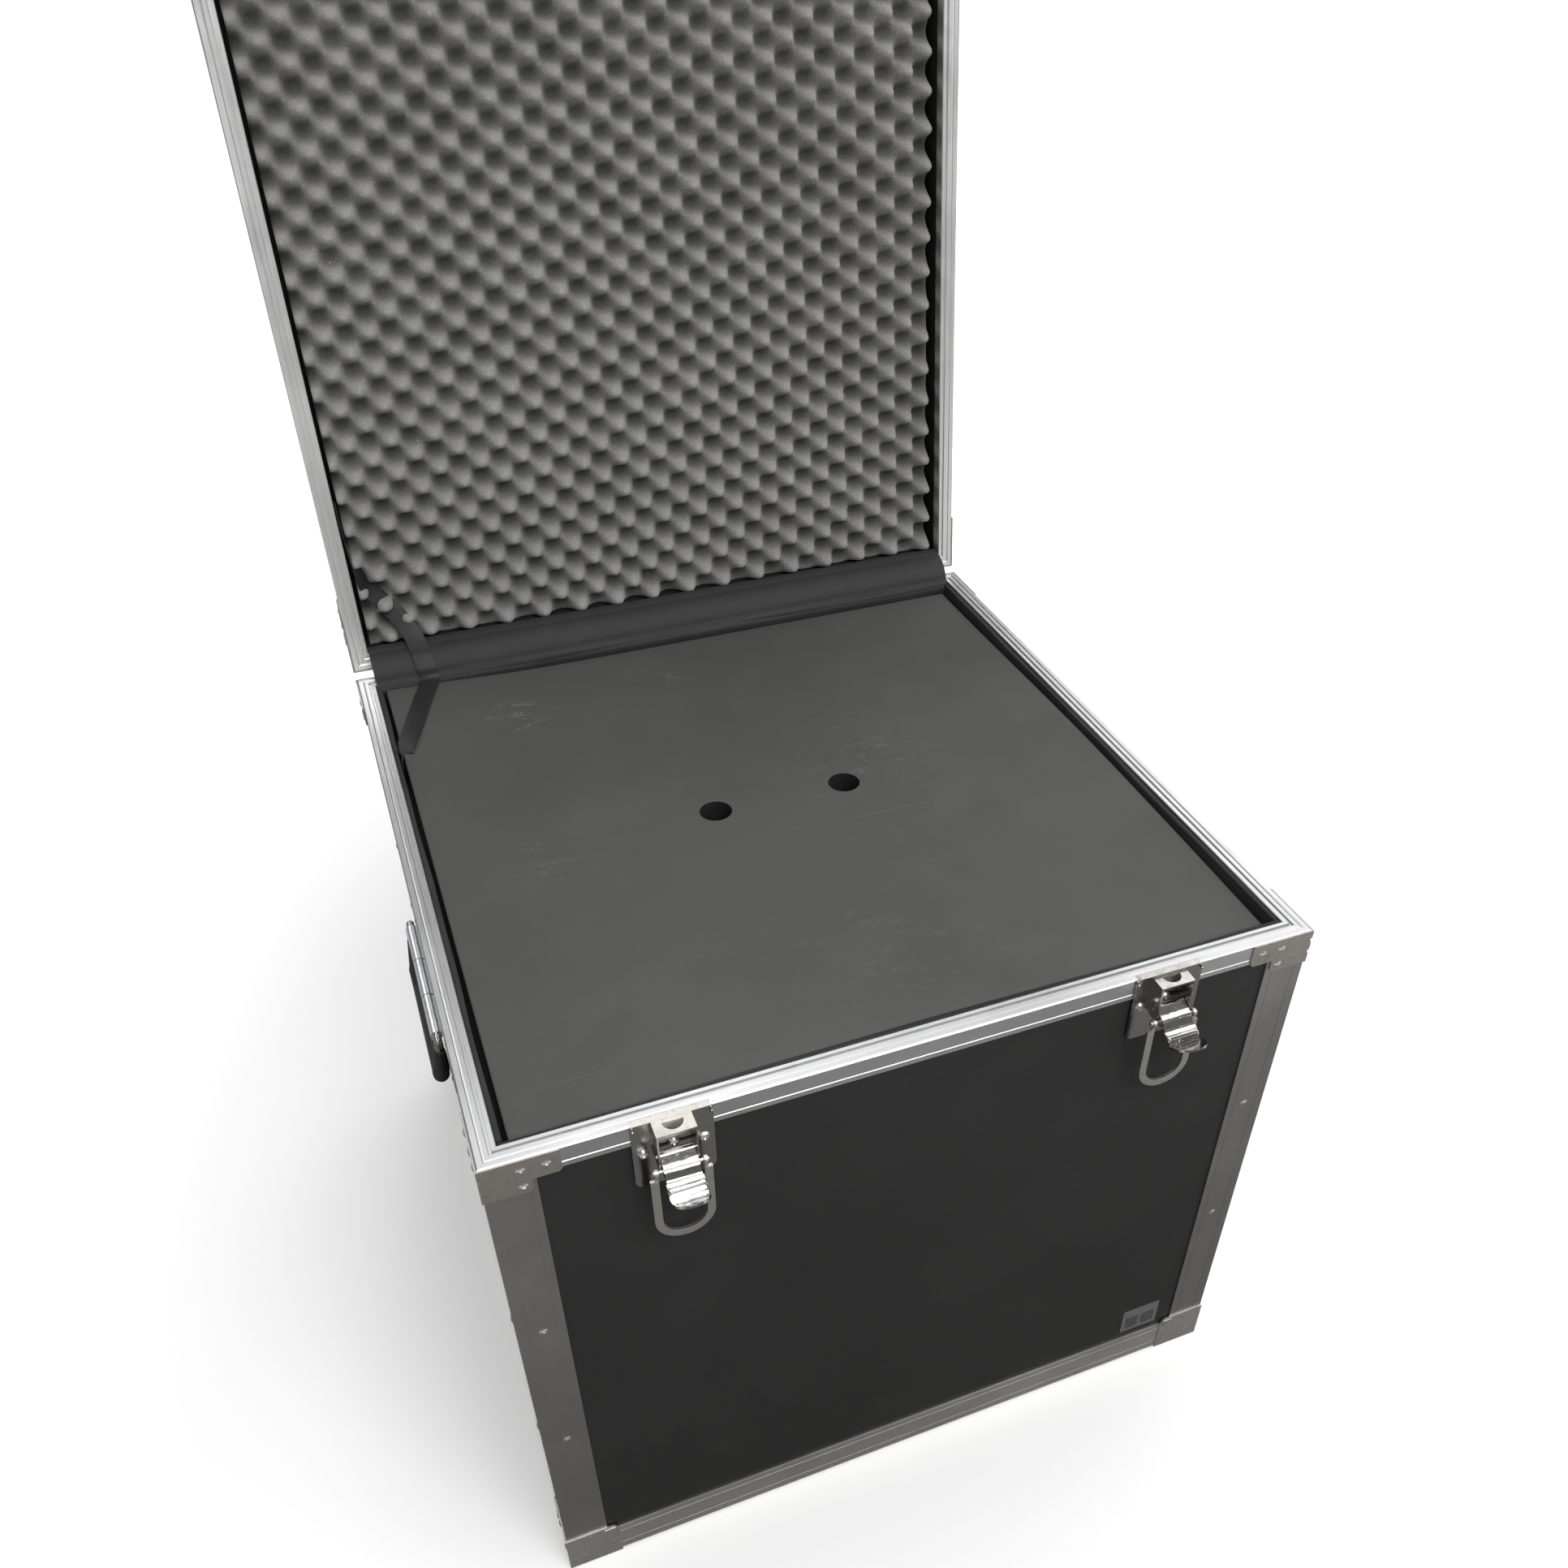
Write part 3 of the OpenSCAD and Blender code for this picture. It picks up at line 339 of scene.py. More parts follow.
def sponge_foam():
    """Open-cell foam: coarse cells that speckle it, painted shade in its pits, with a little fluff."""
    colour = (0.225, 0.222, 0.215)
    mat, bsdf = material("egg_crate_foam", colour, 0.95, 0.0, 0.15)
    where = place(mat)
    pores = cells(mat, where, 620.0)
    fine = noise(mat, where, 1300, 3.0, 0.6)
    clouds = noise(mat, where, 6, 3.0)
    tone = mix_colour(mat, spread(mat, clouds, 0.3, 0.7, 0, 1), colour, (0.285, 0.282, 0.273))
    speckle = math_node(mat, "MULTIPLY", spread(mat, pores, 0.1, 0.75, 1, 0),
                        spread(mat, fine, 0.3, 0.75, 0.3, 1))
    tone = mix_colour(mat, speckle, tone, (0.125, 0.124, 0.118))
    # painted shade: the foam darkens the deeper it lies in a pit, standing in for the shade that falls there
    from_hinge = add(mat, "VectorMath", {0: where, 1: HINGE}, operation="SUBTRACT").outputs["Vector"]
    depth = add(mat, "VectorMath", {0: from_hinge, 1: DEEP}, operation="DOT_PRODUCT").outputs["Value"]
    peak = lid_box("egg_crate_foam")[0][2]
    painted_pit_shade = spread(mat, depth, peak + 11 * MM, peak + PIT_DEPTH, 0, 0.62)
    tone = mix_colour(mat, painted_pit_shade, tone, (0.02, 0.02, 0.0195))
    fluff = noise(mat, where, 330, 2.0)
    tone = mix_colour(mat, spread(mat, fluff, 0.76, 0.8, 0, 0.7), tone, (0.7, 0.69, 0.66))
    link(mat, tone, bsdf, "Base Color")
    bsdf.inputs["Sheen Weight"].default_value = 0.25
    bsdf.inputs["Sheen Roughness"].default_value = 0.6
    bumps(mat, bsdf, (pores, 0.0006, 0.55), (fine, 0.00025, 0.6))
    return mat


def lining_foam():
    """Dark sheet foam of the linings, with a fine pore and dust."""
    colour = (0.022, 0.022, 0.0225)
    mat, bsdf = material("lining_foam", colour, 0.85, 0.0, 0.25)
    where = place(mat)
    pores = cells(mat, where, 1300.0)
    clouds = noise(mat, where, 14, 4.0)
    tone = mix_colour(mat, spread(mat, clouds, 0.35, 0.7, 0, 1), colour, (0.031, 0.031, 0.031))
    dust = noise(mat, where, 700, 2.0)
    tone = mix_colour(mat, spread(mat, dust, 0.74, 0.8, 0, 0.35), tone, (0.2, 0.2, 0.2))
    link(mat, tone, bsdf, "Base Color")
    bumps(mat, bsdf, (pores, 0.00012, 0.5), (clouds, 0.0006, 0.2))
    return mat


def woven(name, colour, light, thread, roughness, sheen):
    """A plain weave of threads, thread metres apart, over the strip's own coordinates."""
    mat, bsdf = material(name, colour, roughness, 0.0, 0.35)
    where = add(mat, "UVMap").outputs["UV"]
    parts = add(mat, "SeparateXYZ", {"Vector": where})
    pitch = math.pi / thread
    warp = math_node(mat, "SINE", math_node(mat, "MULTIPLY", parts.outputs["X"], pitch))
    weft = math_node(mat, "SINE", math_node(mat, "MULTIPLY", parts.outputs["Y"], pitch))
    weave = math_node(mat, "MULTIPLY", warp, weft)
    wear = noise(mat, place(mat), 45, 4.0)
    tone = mix_colour(mat, spread(mat, weave, -0.6, 0.6, 0, 1), colour, light)
    tone = mix_colour(mat, spread(mat, wear, 0.5, 0.8, 0, 0.5), tone, shaded(light, 1.5))
    link(mat, tone, bsdf, "Base Color")
    bsdf.inputs["Sheen Weight"].default_value = sheen
    bumps(mat, bsdf, (wear, 0.0008, 0.25), (weave, 0.00012, 0.6))
    return mat


def moulded_rubber():
    """Black grip: a fine moulded texture, polished by hands."""
    colour = (0.014, 0.014, 0.014)
    mat, bsdf = material("black_grip", colour, 0.42, 0.0, 0.5)
    where = place(mat)
    grain = noise(mat, where, 1900, 3.0, 0.6)
    rubbed = noise(mat, where, 40, 3.0)
    link(mat, spread(mat, rubbed, 0.3, 0.7, 0.36, 0.52), bsdf, "Roughness")
    tone = mix_colour(mat, spread(mat, rubbed, 0.4, 0.75, 0, 1), colour, (0.024, 0.024, 0.024))
    link(mat, tone, bsdf, "Base Color")
    bumps(mat, bsdf, (grain, 0.00006, 0.5))
    return mat


def foil():
    """Blank foil label: brushed, with two plain darker fields."""
    mat, bsdf = material("label", (0.3, 0.3, 0.31), 0.42, 0.6)
    lo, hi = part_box("label_plate")
    size = hi - lo
    face = scaled(mat, place(mat), (1 / size.x, 1, 1 / size.z), shift=(-lo.x / size.x, 0, -lo.z / size.z))
    parts = add(mat, "SeparateXYZ", {"Vector": face})
    u, v = parts.outputs["X"], parts.outputs["Z"]

    def field(u0, u1, v0, v1):
        """1 inside a box of the label's face, whose sides run from 0 to 1."""
        inside = math_node(mat, "GREATER_THAN", u, u0)
        inside = math_node(mat, "MULTIPLY", inside, math_node(mat, "LESS_THAN", u, u1))
        inside = math_node(mat, "MULTIPLY", inside, math_node(mat, "GREATER_THAN", v, v0))
        return math_node(mat, "MULTIPLY", inside, math_node(mat, "LESS_THAN", v, v1))

    brushed = noise(mat, scaled(mat, place(mat), (30, 1, 2500)), 1, 2.0)
    tone = mix_colour(mat, spread(mat, brushed, 0.3, 0.7, 0, 1), (0.2, 0.2, 0.205), (0.27, 0.27, 0.275))
    worn = noise(mat, place(mat), 300, 4.0, 0.7)
    for spot in ((0.1, 0.46, 0.12, 0.66), (0.53, 0.9, 0.12, 0.66)):
        shade = math_node(mat, "MULTIPLY", field(*spot), spread(mat, worn, 0.35, 0.6, 0.55, 1))
        tone = mix_colour(mat, shade, tone, (0.1, 0.1, 0.104))
    link(mat, tone, bsdf, "Base Color")
    bumps(mat, bsdf, (brushed, 0.00003, 0.4))
    return mat


MATERIALS = {
    "laminate": laminate(),
    # painted light and shade: these extrusions are copies of one aluminium at different brightnesses, each set to
    # how bright its part looks; the bars of the base are made lighter and the posts of the base darker, standing
    # in for the lighter and darker floor that they mirror
    "rim_of_base": extrusion("rim_of_base", (0.6, 0.6, 0.605), 0.34),
    "rim_of_lid": extrusion("rim_of_lid", (0.86, 0.86, 0.855), 0.36, of_lid=True),
    "bars_of_base_painted_light": extrusion("bars_of_base_painted_light", (0.68, 0.66, 0.635), 0.42),
    "bars_of_lid": extrusion("bars_of_lid", (0.57, 0.555, 0.535), 0.4, of_lid=True),
    "posts_of_base_painted_shade": extrusion("posts_of_base_painted_shade", (0.38, 0.366, 0.35), 0.4, post=True),
    "posts_of_lid": extrusion("posts_of_lid", (0.57, 0.555, 0.535), 0.4, of_lid=True, post=True),
    "bracket_steel": plated("bracket_steel", (0.47, 0.445, 0.41), 0.34, grain=0.06),
    "cap_steel": plated("cap_steel", (0.66, 0.64, 0.61), 0.38, grain=0.08),
    "rivet_steel": plated("rivet_steel", (0.66, 0.65, 0.63), 0.24, grain=0.05),
    "zinc_steel": plated("zinc_steel", (0.6, 0.6, 0.59), 0.32, grain=0.06),
    "satin_chrome": plated("satin_chrome", (0.37, 0.355, 0.335), 0.16, grain=0.04, sway=0.6),
    "bright_zinc": plated("bright_zinc", (0.84, 0.86, 0.88), 0.3, grain=0.04),
    "loop_steel": plated("loop_steel", (0.56, 0.535, 0.5), 0.34, grain=0.06),
    "chrome": plated("chrome", (0.45, 0.44, 0.43), 0.09, grain=0.03, smear=0.06, sway=0.9),
    "lining_foam": lining_foam(),
    "pad_foam": pad_foam(),
    "egg_crate_foam": sponge_foam(),
    "webbing": woven("webbing", (0.007, 0.007, 0.008), (0.015, 0.015, 0.0165),
                     thread=1.1 * MM, roughness=0.5, sheen=0.03),
    "flap_cloth": woven("flap_cloth", (0.0135, 0.0135, 0.0145), (0.017, 0.017, 0.018),
                        thread=0.6 * MM, roughness=0.55, sheen=0.05),
    "black_grip": moulded_rubber(),
    "label": foil(),
}

# the CAD nodes whose finish isn't that of their slot in the record
FINISH = {
    "rim_of_base": ["base_rim_rails"],
    "rim_of_lid": ["lid_rim_rails"],
    "bars_of_base_painted_light": ["base_bottom_edges"],
    "bars_of_lid": ["lid_top_edges"],
    "posts_of_base_painted_shade": ["base_corner_edges"],
    "posts_of_lid": ["lid_corner_edges"],
    "bracket_steel": ["base_rim_brackets", "lid_rim_brackets"],
    "cap_steel": ["base_corner_caps", "lid_corner_caps"],
    "satin_chrome": ["left_latch_plate", "right_latch_plate", "left_catch", "right_catch"],
    "loop_steel": ["left_pull_loop", "right_pull_loop"],
    "bright_zinc": ["left_handle_barrels", "right_handle_barrels"],
}
# the slots whose finish goes by another name
SLOT_FINISH = {"aluminium": "bars_of_base_painted_light", "bright_aluminium": "rim_of_base"}


def finish_cad_nodes():
    """Gives every CAD node its material: by name where FINISH has it, otherwise by its slot in the record."""
    by_name = {node: name for name, members in FINISH.items() for node in members}
    for part in frame["record"]["subparts"]:
        node = part["node"]
        slot = part["material_slot"]
        name = by_name.get(node, SLOT_FINISH.get(slot, slot))
        mesh = nodes[node].data
        mesh.materials.clear()
        mesh.materials.append(MATERIALS[name])


def soften_edges(names, width, angle=40):
    """Rounds the edges of metal CAD parts, so that they catch the light."""
    for name in names:
        weld = nodes[name].modifiers.new("weld", "WELD")
        weld.merge_threshold = 1e-6
        bevel = nodes[name].modifiers.new("edges", "BEVEL")
        bevel.width = width
        bevel.segments = 2
        bevel.limit_method = "ANGLE"
        bevel.angle_limit = math.radians(angle)
        bevel.use_clamp_overlap = True
        shading = nodes[name].modifiers.new("shading", "WEIGHTED_NORMAL")
        shading.keep_sharp = False


# ---------- meshes ----------


def mesh_object(name, points, faces, finish):
    """A smooth-shaded object of one finish, which is a material here."""
    mesh = bpy.data.meshes.new(name)
    mesh.from_pydata([tuple(p) for p in points], [], faces)
    mesh.polygons.foreach_set("use_smooth", [True] * len(mesh.polygons))
    mesh.materials.append(MATERIALS[finish])
    mesh.update()
    obj = bpy.data.objects.new(name, mesh)
    bpy.context.scene.collection.objects.link(obj)
    return obj


def block_lines(low, high, radius, cell):
    """Grid lines along one side of a soft block: close together at its rounded ends."""
    inner = max(2, round((high - low - 2 * radius) / cell))
    ends = [radius * (1 - math.cos(math.radians(a))) for a in (0, 30, 60)]
    middle = [low + radius + (high - low - 2 * radius) * i / inner for i in range(inner + 1)]
    return [low + e for e in ends] + middle + [high - e for e in reversed(ends)]


def soft_block(low, high, radius, cell):
    """Points and faces of a closed block with rounded edges, gridded finely enough to be bent."""
    low, high = Vector(low), Vector(high)
    lines = [block_lines(low[i], high[i], radius, cell) for i in range(3)]
    inner_low = low + Vector((radius,) * 3)
    inner_high = high - Vector((radius,) * 3)
    found, points, faces = {}, [], []

    def vertex(p):
        """The number of the point that rounding the block's edges puts in place of p."""
        key = tuple(round(c, 7) for c in p)
        if key not in found:
            core = Vector(max(inner_low[i], min(inner_high[i], p[i])) for i in range(3))
            out = p - core
            found[key] = len(points)
            points.append(core + out.normalized() * radius if out.length > 1e-9 else p)
        return found[key]

    for axis in range(3):
        a, b = (axis + 1) % 3, (axis + 2) % 3
        for end, flip in ((low[axis], True), (high[axis], False)):
            for i in range(len(lines[a]) - 1):
                for j in range(len(lines[b]) - 1):
                    corners = []
                    for da, db in ((0, 0), (1, 0), (1, 1), (0, 1)):
                        p = Vector((0, 0, 0))
                        p[axis] = end
                        p[a] = lines[a][i + da]
                        p[b] = lines[b][j + db]
                        corners.append(vertex(p))
                    faces.append(corners[::-1] if flip else corners)
    return points, faces


def join(parts):
    """Joins several (points, faces) into one."""
    points, faces = [], []
    for more_points, more_faces in parts:
        start = len(points)
        points += more_points
        faces += [[start + i for i in face] for face in more_faces]
    return points, faces


def wave(*terms):
    """A smooth wavy value from (place, wavelength, height) terms, for hand-cut foam."""
    return sum(h * math.sin(2 * math.pi * p / length + length * 900) for p, length, h in terms)


def smooth_path(points, steps):
    """A Catmull-Rom curve through rows of numbers."""
    rows = [np.array(p, float) for p in points]
    rows = [2 * rows[0] - rows[1]] + rows + [2 * rows[-1] - rows[-2]]
    path = []
    for i in range(1, len(rows) - 2):
        p0, p1, p2, p3 = rows[i - 1:i + 3]
        for k in range(steps):
            t = k / steps
            path.append(0.5 * (2 * p1 + (p2 - p0) * t + (2 * p0 - 5 * p1 + 4 * p2 - p3) * t * t
                               + (3 * p1 - p0 - 3 * p2 + p3) * t ** 3))
    path.append(rows[-2])
    return path


def ribbon(name, centres, sideways, width, thick, finish, across=6, rows=None):
    """A closed flat strip along the centres, or along the rows (first, last) of them. Its UVs are metres
    along and across, for the weave."""
    points, faces, uvs = [], [], []
    last = len(centres) - 1
    begin, end = rows or (0, last)
    count = end - begin + 1
    along = 0.0
    for i in range(last + 1):
        if i > 0:
            along += (centres[i] - centres[i - 1]).length
        if not begin <= i <= end:
            continue
        step = (centres[min(i + 1, last)] - centres[max(i - 1, 0)]).normalized()
        side = (sideways[i] - sideways[i].dot(step) * step).normalized()
        up = step.cross(side).normalized()
        for face_side in (0.5, -0.5):
            for j in range(across + 1):
                share = j / across - 0.5
                round_off = 1 - 0.6 * (abs(share) * 2) ** 8     # thinner at the selvedges
                points.append(centres[i] + side * share * width + up * face_side * thick * round_off)
                uvs.append((along, share * width))
    row = 2 * (across + 1)
    for i in range(count - 1):
        for j in range(across):
            top = i * row + j
            low = top + across + 1
            faces.append([top, top + row, top + row + 1, top + 1])
            faces.append([low, low + 1, low + row + 1, low + row])
        left, right = i * row, i * row + across
        faces.append([left, left + across + 1, left + across + 1 + row, left + row])
        faces.append([right, right + row, right + row + across + 1, right + across + 1])
    for i, flip in ((0, False), (count - 1, True)):
        for j in range(across):
            top = i * row + j
            cap = [top, top + 1, top + across + 2, top + across + 1]
            faces.append(cap[::-1] if flip else cap)
    obj = mesh_object(name, points, faces, finish)
    layer = obj.data.uv_layers.new(name="UVMap")
    for loop in obj.data.loops:
        layer.data[loop.index].uv = uvs[loop.vertex_index]
    mark_sharp(obj, 60)
    return obj


def tube(name, centres, radii, finish, sides=24):
    """A closed round tube along centres."""
    points, faces = [], []
    count = len(centres)
    side = Vector((1, 0, 0))
    for i in range(count):
        step = (centres[min(i + 1, count - 1)] - centres[max(i - 1, 0)]).normalized()
        side = (side - side.dot(step) * step).normalized()
        other = step.cross(side)
        for k in range(sides):
            turn = 2 * math.pi * k / sides
            points.append(centres[i] + radii[i] * (math.cos(turn) * side + math.sin(turn) * other))
    for i in range(count - 1):
        for k in range(sides):
            a, b = i * sides + k, i * sides + (k + 1) % sides
            faces.append([a, b, b + sides, a + sides])
    faces.append(list(range(sides))[::-1])
    faces.append([(count - 1) * sides + k for k in range(sides)])
    return mesh_object(name, points, faces, finish)


def mark_sharp(obj, degrees):
    """Splits the shading at edges sharper than this."""
    mesh = obj.data
    work = bmesh.new()
    work.from_mesh(mesh)
    for edge in work.edges:
        if len(edge.link_faces) == 2 and edge.calc_face_angle(0) > math.radians(degrees):
            edge.smooth = False
    work.to_mesh(mesh)
    work.free()


# ---------- the foams ----------

BUMP_X = 17.85 * MM                            # half the egg crate's period across the lid
BUMP_UP = 14.6 * MM                            # and up the lid
BUMP_START = (5.6 * MM, 11.9 * MM)             # x and up of one peak
KNOB_POWER = 0.72                              # under 1 the knobs stand further apart


def egg_crate():
    """The egg-crate foam of the lid: broad round peaks and narrow pits on a chequered lattice."""
    low, high = lid_box("egg_crate_foam")
    low[1] -= 4 * MM             # the cut edge is squeezed against the flap
    cell = 2.4 * MM
    xs = np.linspace(low[0], high[0], round((high[0] - low[0]) / cell) + 1)
    ups = np.linspace(low[1], high[1], round((high[1] - low[1]) / cell) + 1)
    x, up = np.meshgrid(xs, ups, indexing="ij")
    # hand-cut foam is never quite regular, so the lattice drifts and its peaks vary a little
    drift_x = 1.3 * MM * np.sin(up * 17.0 + 1.0) * np.cos(x * 9.0)
    drift_up = 1.1 * MM * np.sin(x * 14.0 + 2.0) * np.cos(up * 11.0)
    product = np.cos(np.pi * (x + drift_x - BUMP_START[0]) / BUMP_X) \
        * np.cos(np.pi * (up + drift_up - BUMP_START[1]) / BUMP_UP)
    fall = (1 - product) / 2
    pit = (fall * fall * (3 - 2 * fall)) ** KNOB_POWER
    height_wave = 0.5 * np.sin(x * 61.0 + 3 * np.sin(up * 37.0))
    height_wave = height_wave + 0.5 * np.sin(up * 73.0 + 2 * np.sin(x * 29.0))
    deep = low[2] + 1.0 * MM + PIT_DEPTH * pit * (1 + 0.04 * height_wave) + 0.6 * MM * height_wave
    edge = np.minimum.reduce([x - low[0], high[0] - x, up - low[1], high[1] - up])
    fray = 2.5 * MM              # the cut edges are rounded off over this distance
    deep += np.where(edge < fray, fray - np.sqrt(np.maximum(fray ** 2 - (fray - edge) ** 2, 0)), 0)
    columns, rows = x.shape
    points = [on_lid(*p) for p in zip(x.ravel(), up.ravel(), deep.ravel())]
    faces = [[i * rows + j, (i + 1) * rows + j, (i + 1) * rows + j + 1, i * rows + j + 1]
             for i in range(columns - 1) for j in range(rows - 1)]
    rim = [i * rows for i in range(columns)] + [(columns - 1) * rows + j for j in range(1, rows)]
    rim += [i * rows + rows - 1 for i in range(columns - 2, -1, -1)] + list(range(rows - 2, 0, -1))
    back = len(points)
    points += [on_lid(x.flat[i], up.flat[i], high[2]) for i in rim]
    count = len(rim)
    for k in range(count):
        after = (k + 1) % count
        faces.append([rim[k], back + k, back + after, rim[after]])
    faces.append([back + k for k in reversed(range(count))])
    foam = mesh_object("egg_crate", points, faces, "egg_crate_foam")
    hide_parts("egg_crate_foam")
    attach(foam, "lid")


PAD_LO, PAD_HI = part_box("lift_out_pad")
PAD_HALF = (PAD_HI.x - PAD_LO.x) / 2
PAD_CROWN = 5.5 * MM             # how far the pad bows up in its middle
CORNER_CURL = 6 * MM             # the rear left corner of the pad curls up
CURL_REACH = 95 * MM             # over this distance


def pad_rise(x, y):
    """How far the pad bows up over its CAD solid at a point given from the middle of the base."""
    u, v = min(abs(x) / PAD_HALF, 1), min(abs(y) / PAD_HALF, 1)
    rear = (max(-1, min(1, y / PAD_HALF)) + 1) / 2      # 0 at the front edge, 1 at the rear one
    corner = math.hypot(x + PAD_HALF, y - PAD_HALF)
    curl = CORNER_CURL * math.exp(-(corner / CURL_REACH) ** 2)
    return PAD_CROWN * (1 - (u * v) ** 1.5) * (1 - rear ** 3) + curl


def pad_top(x, y):
    """The height of the pad's face."""
    return PAD_HI.z + pad_rise(x, y)


def lift_out_pad():
    """The lift-out pad: a slab with soft edges that bows a little, and two finger holes."""
    points, faces = soft_block(PAD_LO, PAD_HI, radius=1.6 * MM, cell=9 * MM)
    pad = mesh_object("pad", points, faces, "pad_foam")
    for side in (-1, 1):
        bpy.ops.mesh.primitive_cylinder_add(vertices=64, radius=HOLE_R, depth=0.1,
                                            location=on_base(side * HOLE_X, HOLE_Y, PAD_LO.z))
        cutter = bpy.context.object
        hole = pad.modifiers.new("hole", "BOOLEAN")
        hole.object = cutter
        hole.operation = "DIFFERENCE"
        hole.solver = "EXACT"
        bpy.context.view_layer.objects.active = pad
        bpy.ops.object.modifier_apply(modifier="hole")
        bpy.data.objects.remove(cutter, do_unlink=True)
    for v in pad.data.vertices:
        v.co.z += pad_rise(v.co.x, v.co.y - MID_Y)
    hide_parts("lift_out_pad")
    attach(pad, "pad")
    mark_sharp(pad, 50)


def quarter_turn(point, turns):
    """Turns a point about the middle of the base by quarter turns."""
    spin = Matrix.Rotation(turns * math.pi / 2, 3, "Z")
    centre = Vector((0, MID_Y, 0))
    return spin @ (point - centre) + centre


def wall_linings():
    """Four foam sheets round the inside, whose top edges show beside the rim. They stand a little wavy."""
    lining_lo, lining_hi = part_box("base_wall_lining")
    gap = 0.2 * MM               # between the sheets at the corners
    sheets = []
    for turns in range(4):
        reach = (HALF - RIM_W if turns % 2 == 0 else INNER) - gap
        points, faces = soft_block(on_base(-reach, -HALF + RIM_W, lining_lo.z),
                                   on_base(reach, -INNER, lining_hi.z), radius=1.2 * MM, cell=14 * MM)
        for p in points:
            share = (p.z - lining_lo.z) / (lining_hi.z - lining_lo.z)
            if p.y > MID_Y - INNER - 2 * MM:
                p.y += share ** 4 * wave((p.x + turns, 0.31, 0.5 * MM), (p.x, 0.12, 0.25 * MM))
            p.z += share ** 6 * wave((p.x + turns, 0.23, 0.4 * MM))
        sheets.append(([quarter_turn(p, turns) for p in points], faces))
    points, faces = join(sheets)
    lining = mesh_object("wall_lining", points, faces, "lining_foam")
    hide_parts("base_wall_lining")
    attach(lining, "base")


def ledge():
    """Four foam strips that carry the pad, butted at the corners."""
    low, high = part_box("pad_ledge")
    width = 25 * MM
    gap = 0.3 * MM               # between the strips at the corners
    strips = []
    for turns in range(4):
        reach = INNER if turns % 2 == 0 else INNER - width - gap
        points, faces = soft_block(on_base(-reach, -INNER, low.z), on_base(reach, width - INNER, high.z),
                                   radius=2 * MM, cell=14 * MM)
        strips.append(([quarter_turn(p, turns) for p in points], faces))
    points, faces = join(strips)
    shelf = mesh_object("ledge", points, faces, "lining_foam")
    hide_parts("pad_ledge")
    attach(shelf, "base")


def floor_lining():
    """The foam sheet on the floor of the case."""
    low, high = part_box("base_floor_lining")
    points, faces = soft_block(low, high, radius=1.2 * MM, cell=22 * MM)
    sheet = mesh_object("floor_lining", points, faces, "lining_foam")
    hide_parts("base_floor_lining")
    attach(sheet, "base")


# ---------- the flap and the strap -----------------------------------

FLAP_HALF = 284.5 * MM           # half the flap's width
FLAP_R = 20.6 * MM               # distance of the flap's ends from the hinge axis
FLAP_BELLY = 18.6 * MM           # and of its middle
FLAP_FOOT = 14 * MM              # how far the flap reaches below the rim
FLAP_T = 0.9 * MM


def round_hinge(x, radius, share):
    """A point at a distance from the hinge axis, from the base's rim at share 0 to the lid's at share 1."""
    turn = math.pi - share * LID_OPEN
    return Vector((x, HINGE.y + radius * math.cos(turn), HINGE.z + radius * math.sin(turn)))


def flap_radius(share):
    """The flap's distance from the hinge axis, at a share of its way round."""
    return FLAP_R - (FLAP_R - FLAP_BELLY) * math.sin(math.pi * share)


def hinge_flap():
    """The cloth flap over the rear rims: down behind the pad, over the gap and up behind the foam."""
    path = [on_base(0, INNER - 0.9 * MM, RIM_Z - FLAP_FOOT), on_base(0, INNER - 0.7 * MM, RIM_Z - 6 * MM),
            on_base(0, INNER + 1.2 * MM, RIM_Z - 2 * MM)]
    path += [round_hinge(0, flap_radius(s), s) for s in (0.06, 0.2, 0.35, 0.5, 0.65, 0.8, 0.94)]
    path += [on_lid(0, FLAP_R + 1.5 * MM, 1.5 * MM), on_lid(0, FLAP_R + 3 * MM, 6 * MM)]
    centres = [Vector(p) for p in smooth_path(path, 5)]
    sideways = [Vector((1, 0, 0))] * len(centres)
    flap = ribbon("hinge_flap", centres, sideways, 2 * FLAP_HALF, FLAP_T, "flap_cloth", across=60)
    for v in flap.data.vertices:
        if v.co.z > RIM_Z:
            ripple = wave((v.co.x, 0.19, 0.35 * MM), (v.co.x + v.co.z, 0.077, 0.15 * MM))
            v.co += ripple * Vector((0, -0.7, 0.7))
    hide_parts("base_flap_strip", "lid_flap_strip")
    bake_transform(flap)


STRAP_W = 17 * MM                # width of the stay strap
STRAP_T = 1.3 * MM               # and its thickness


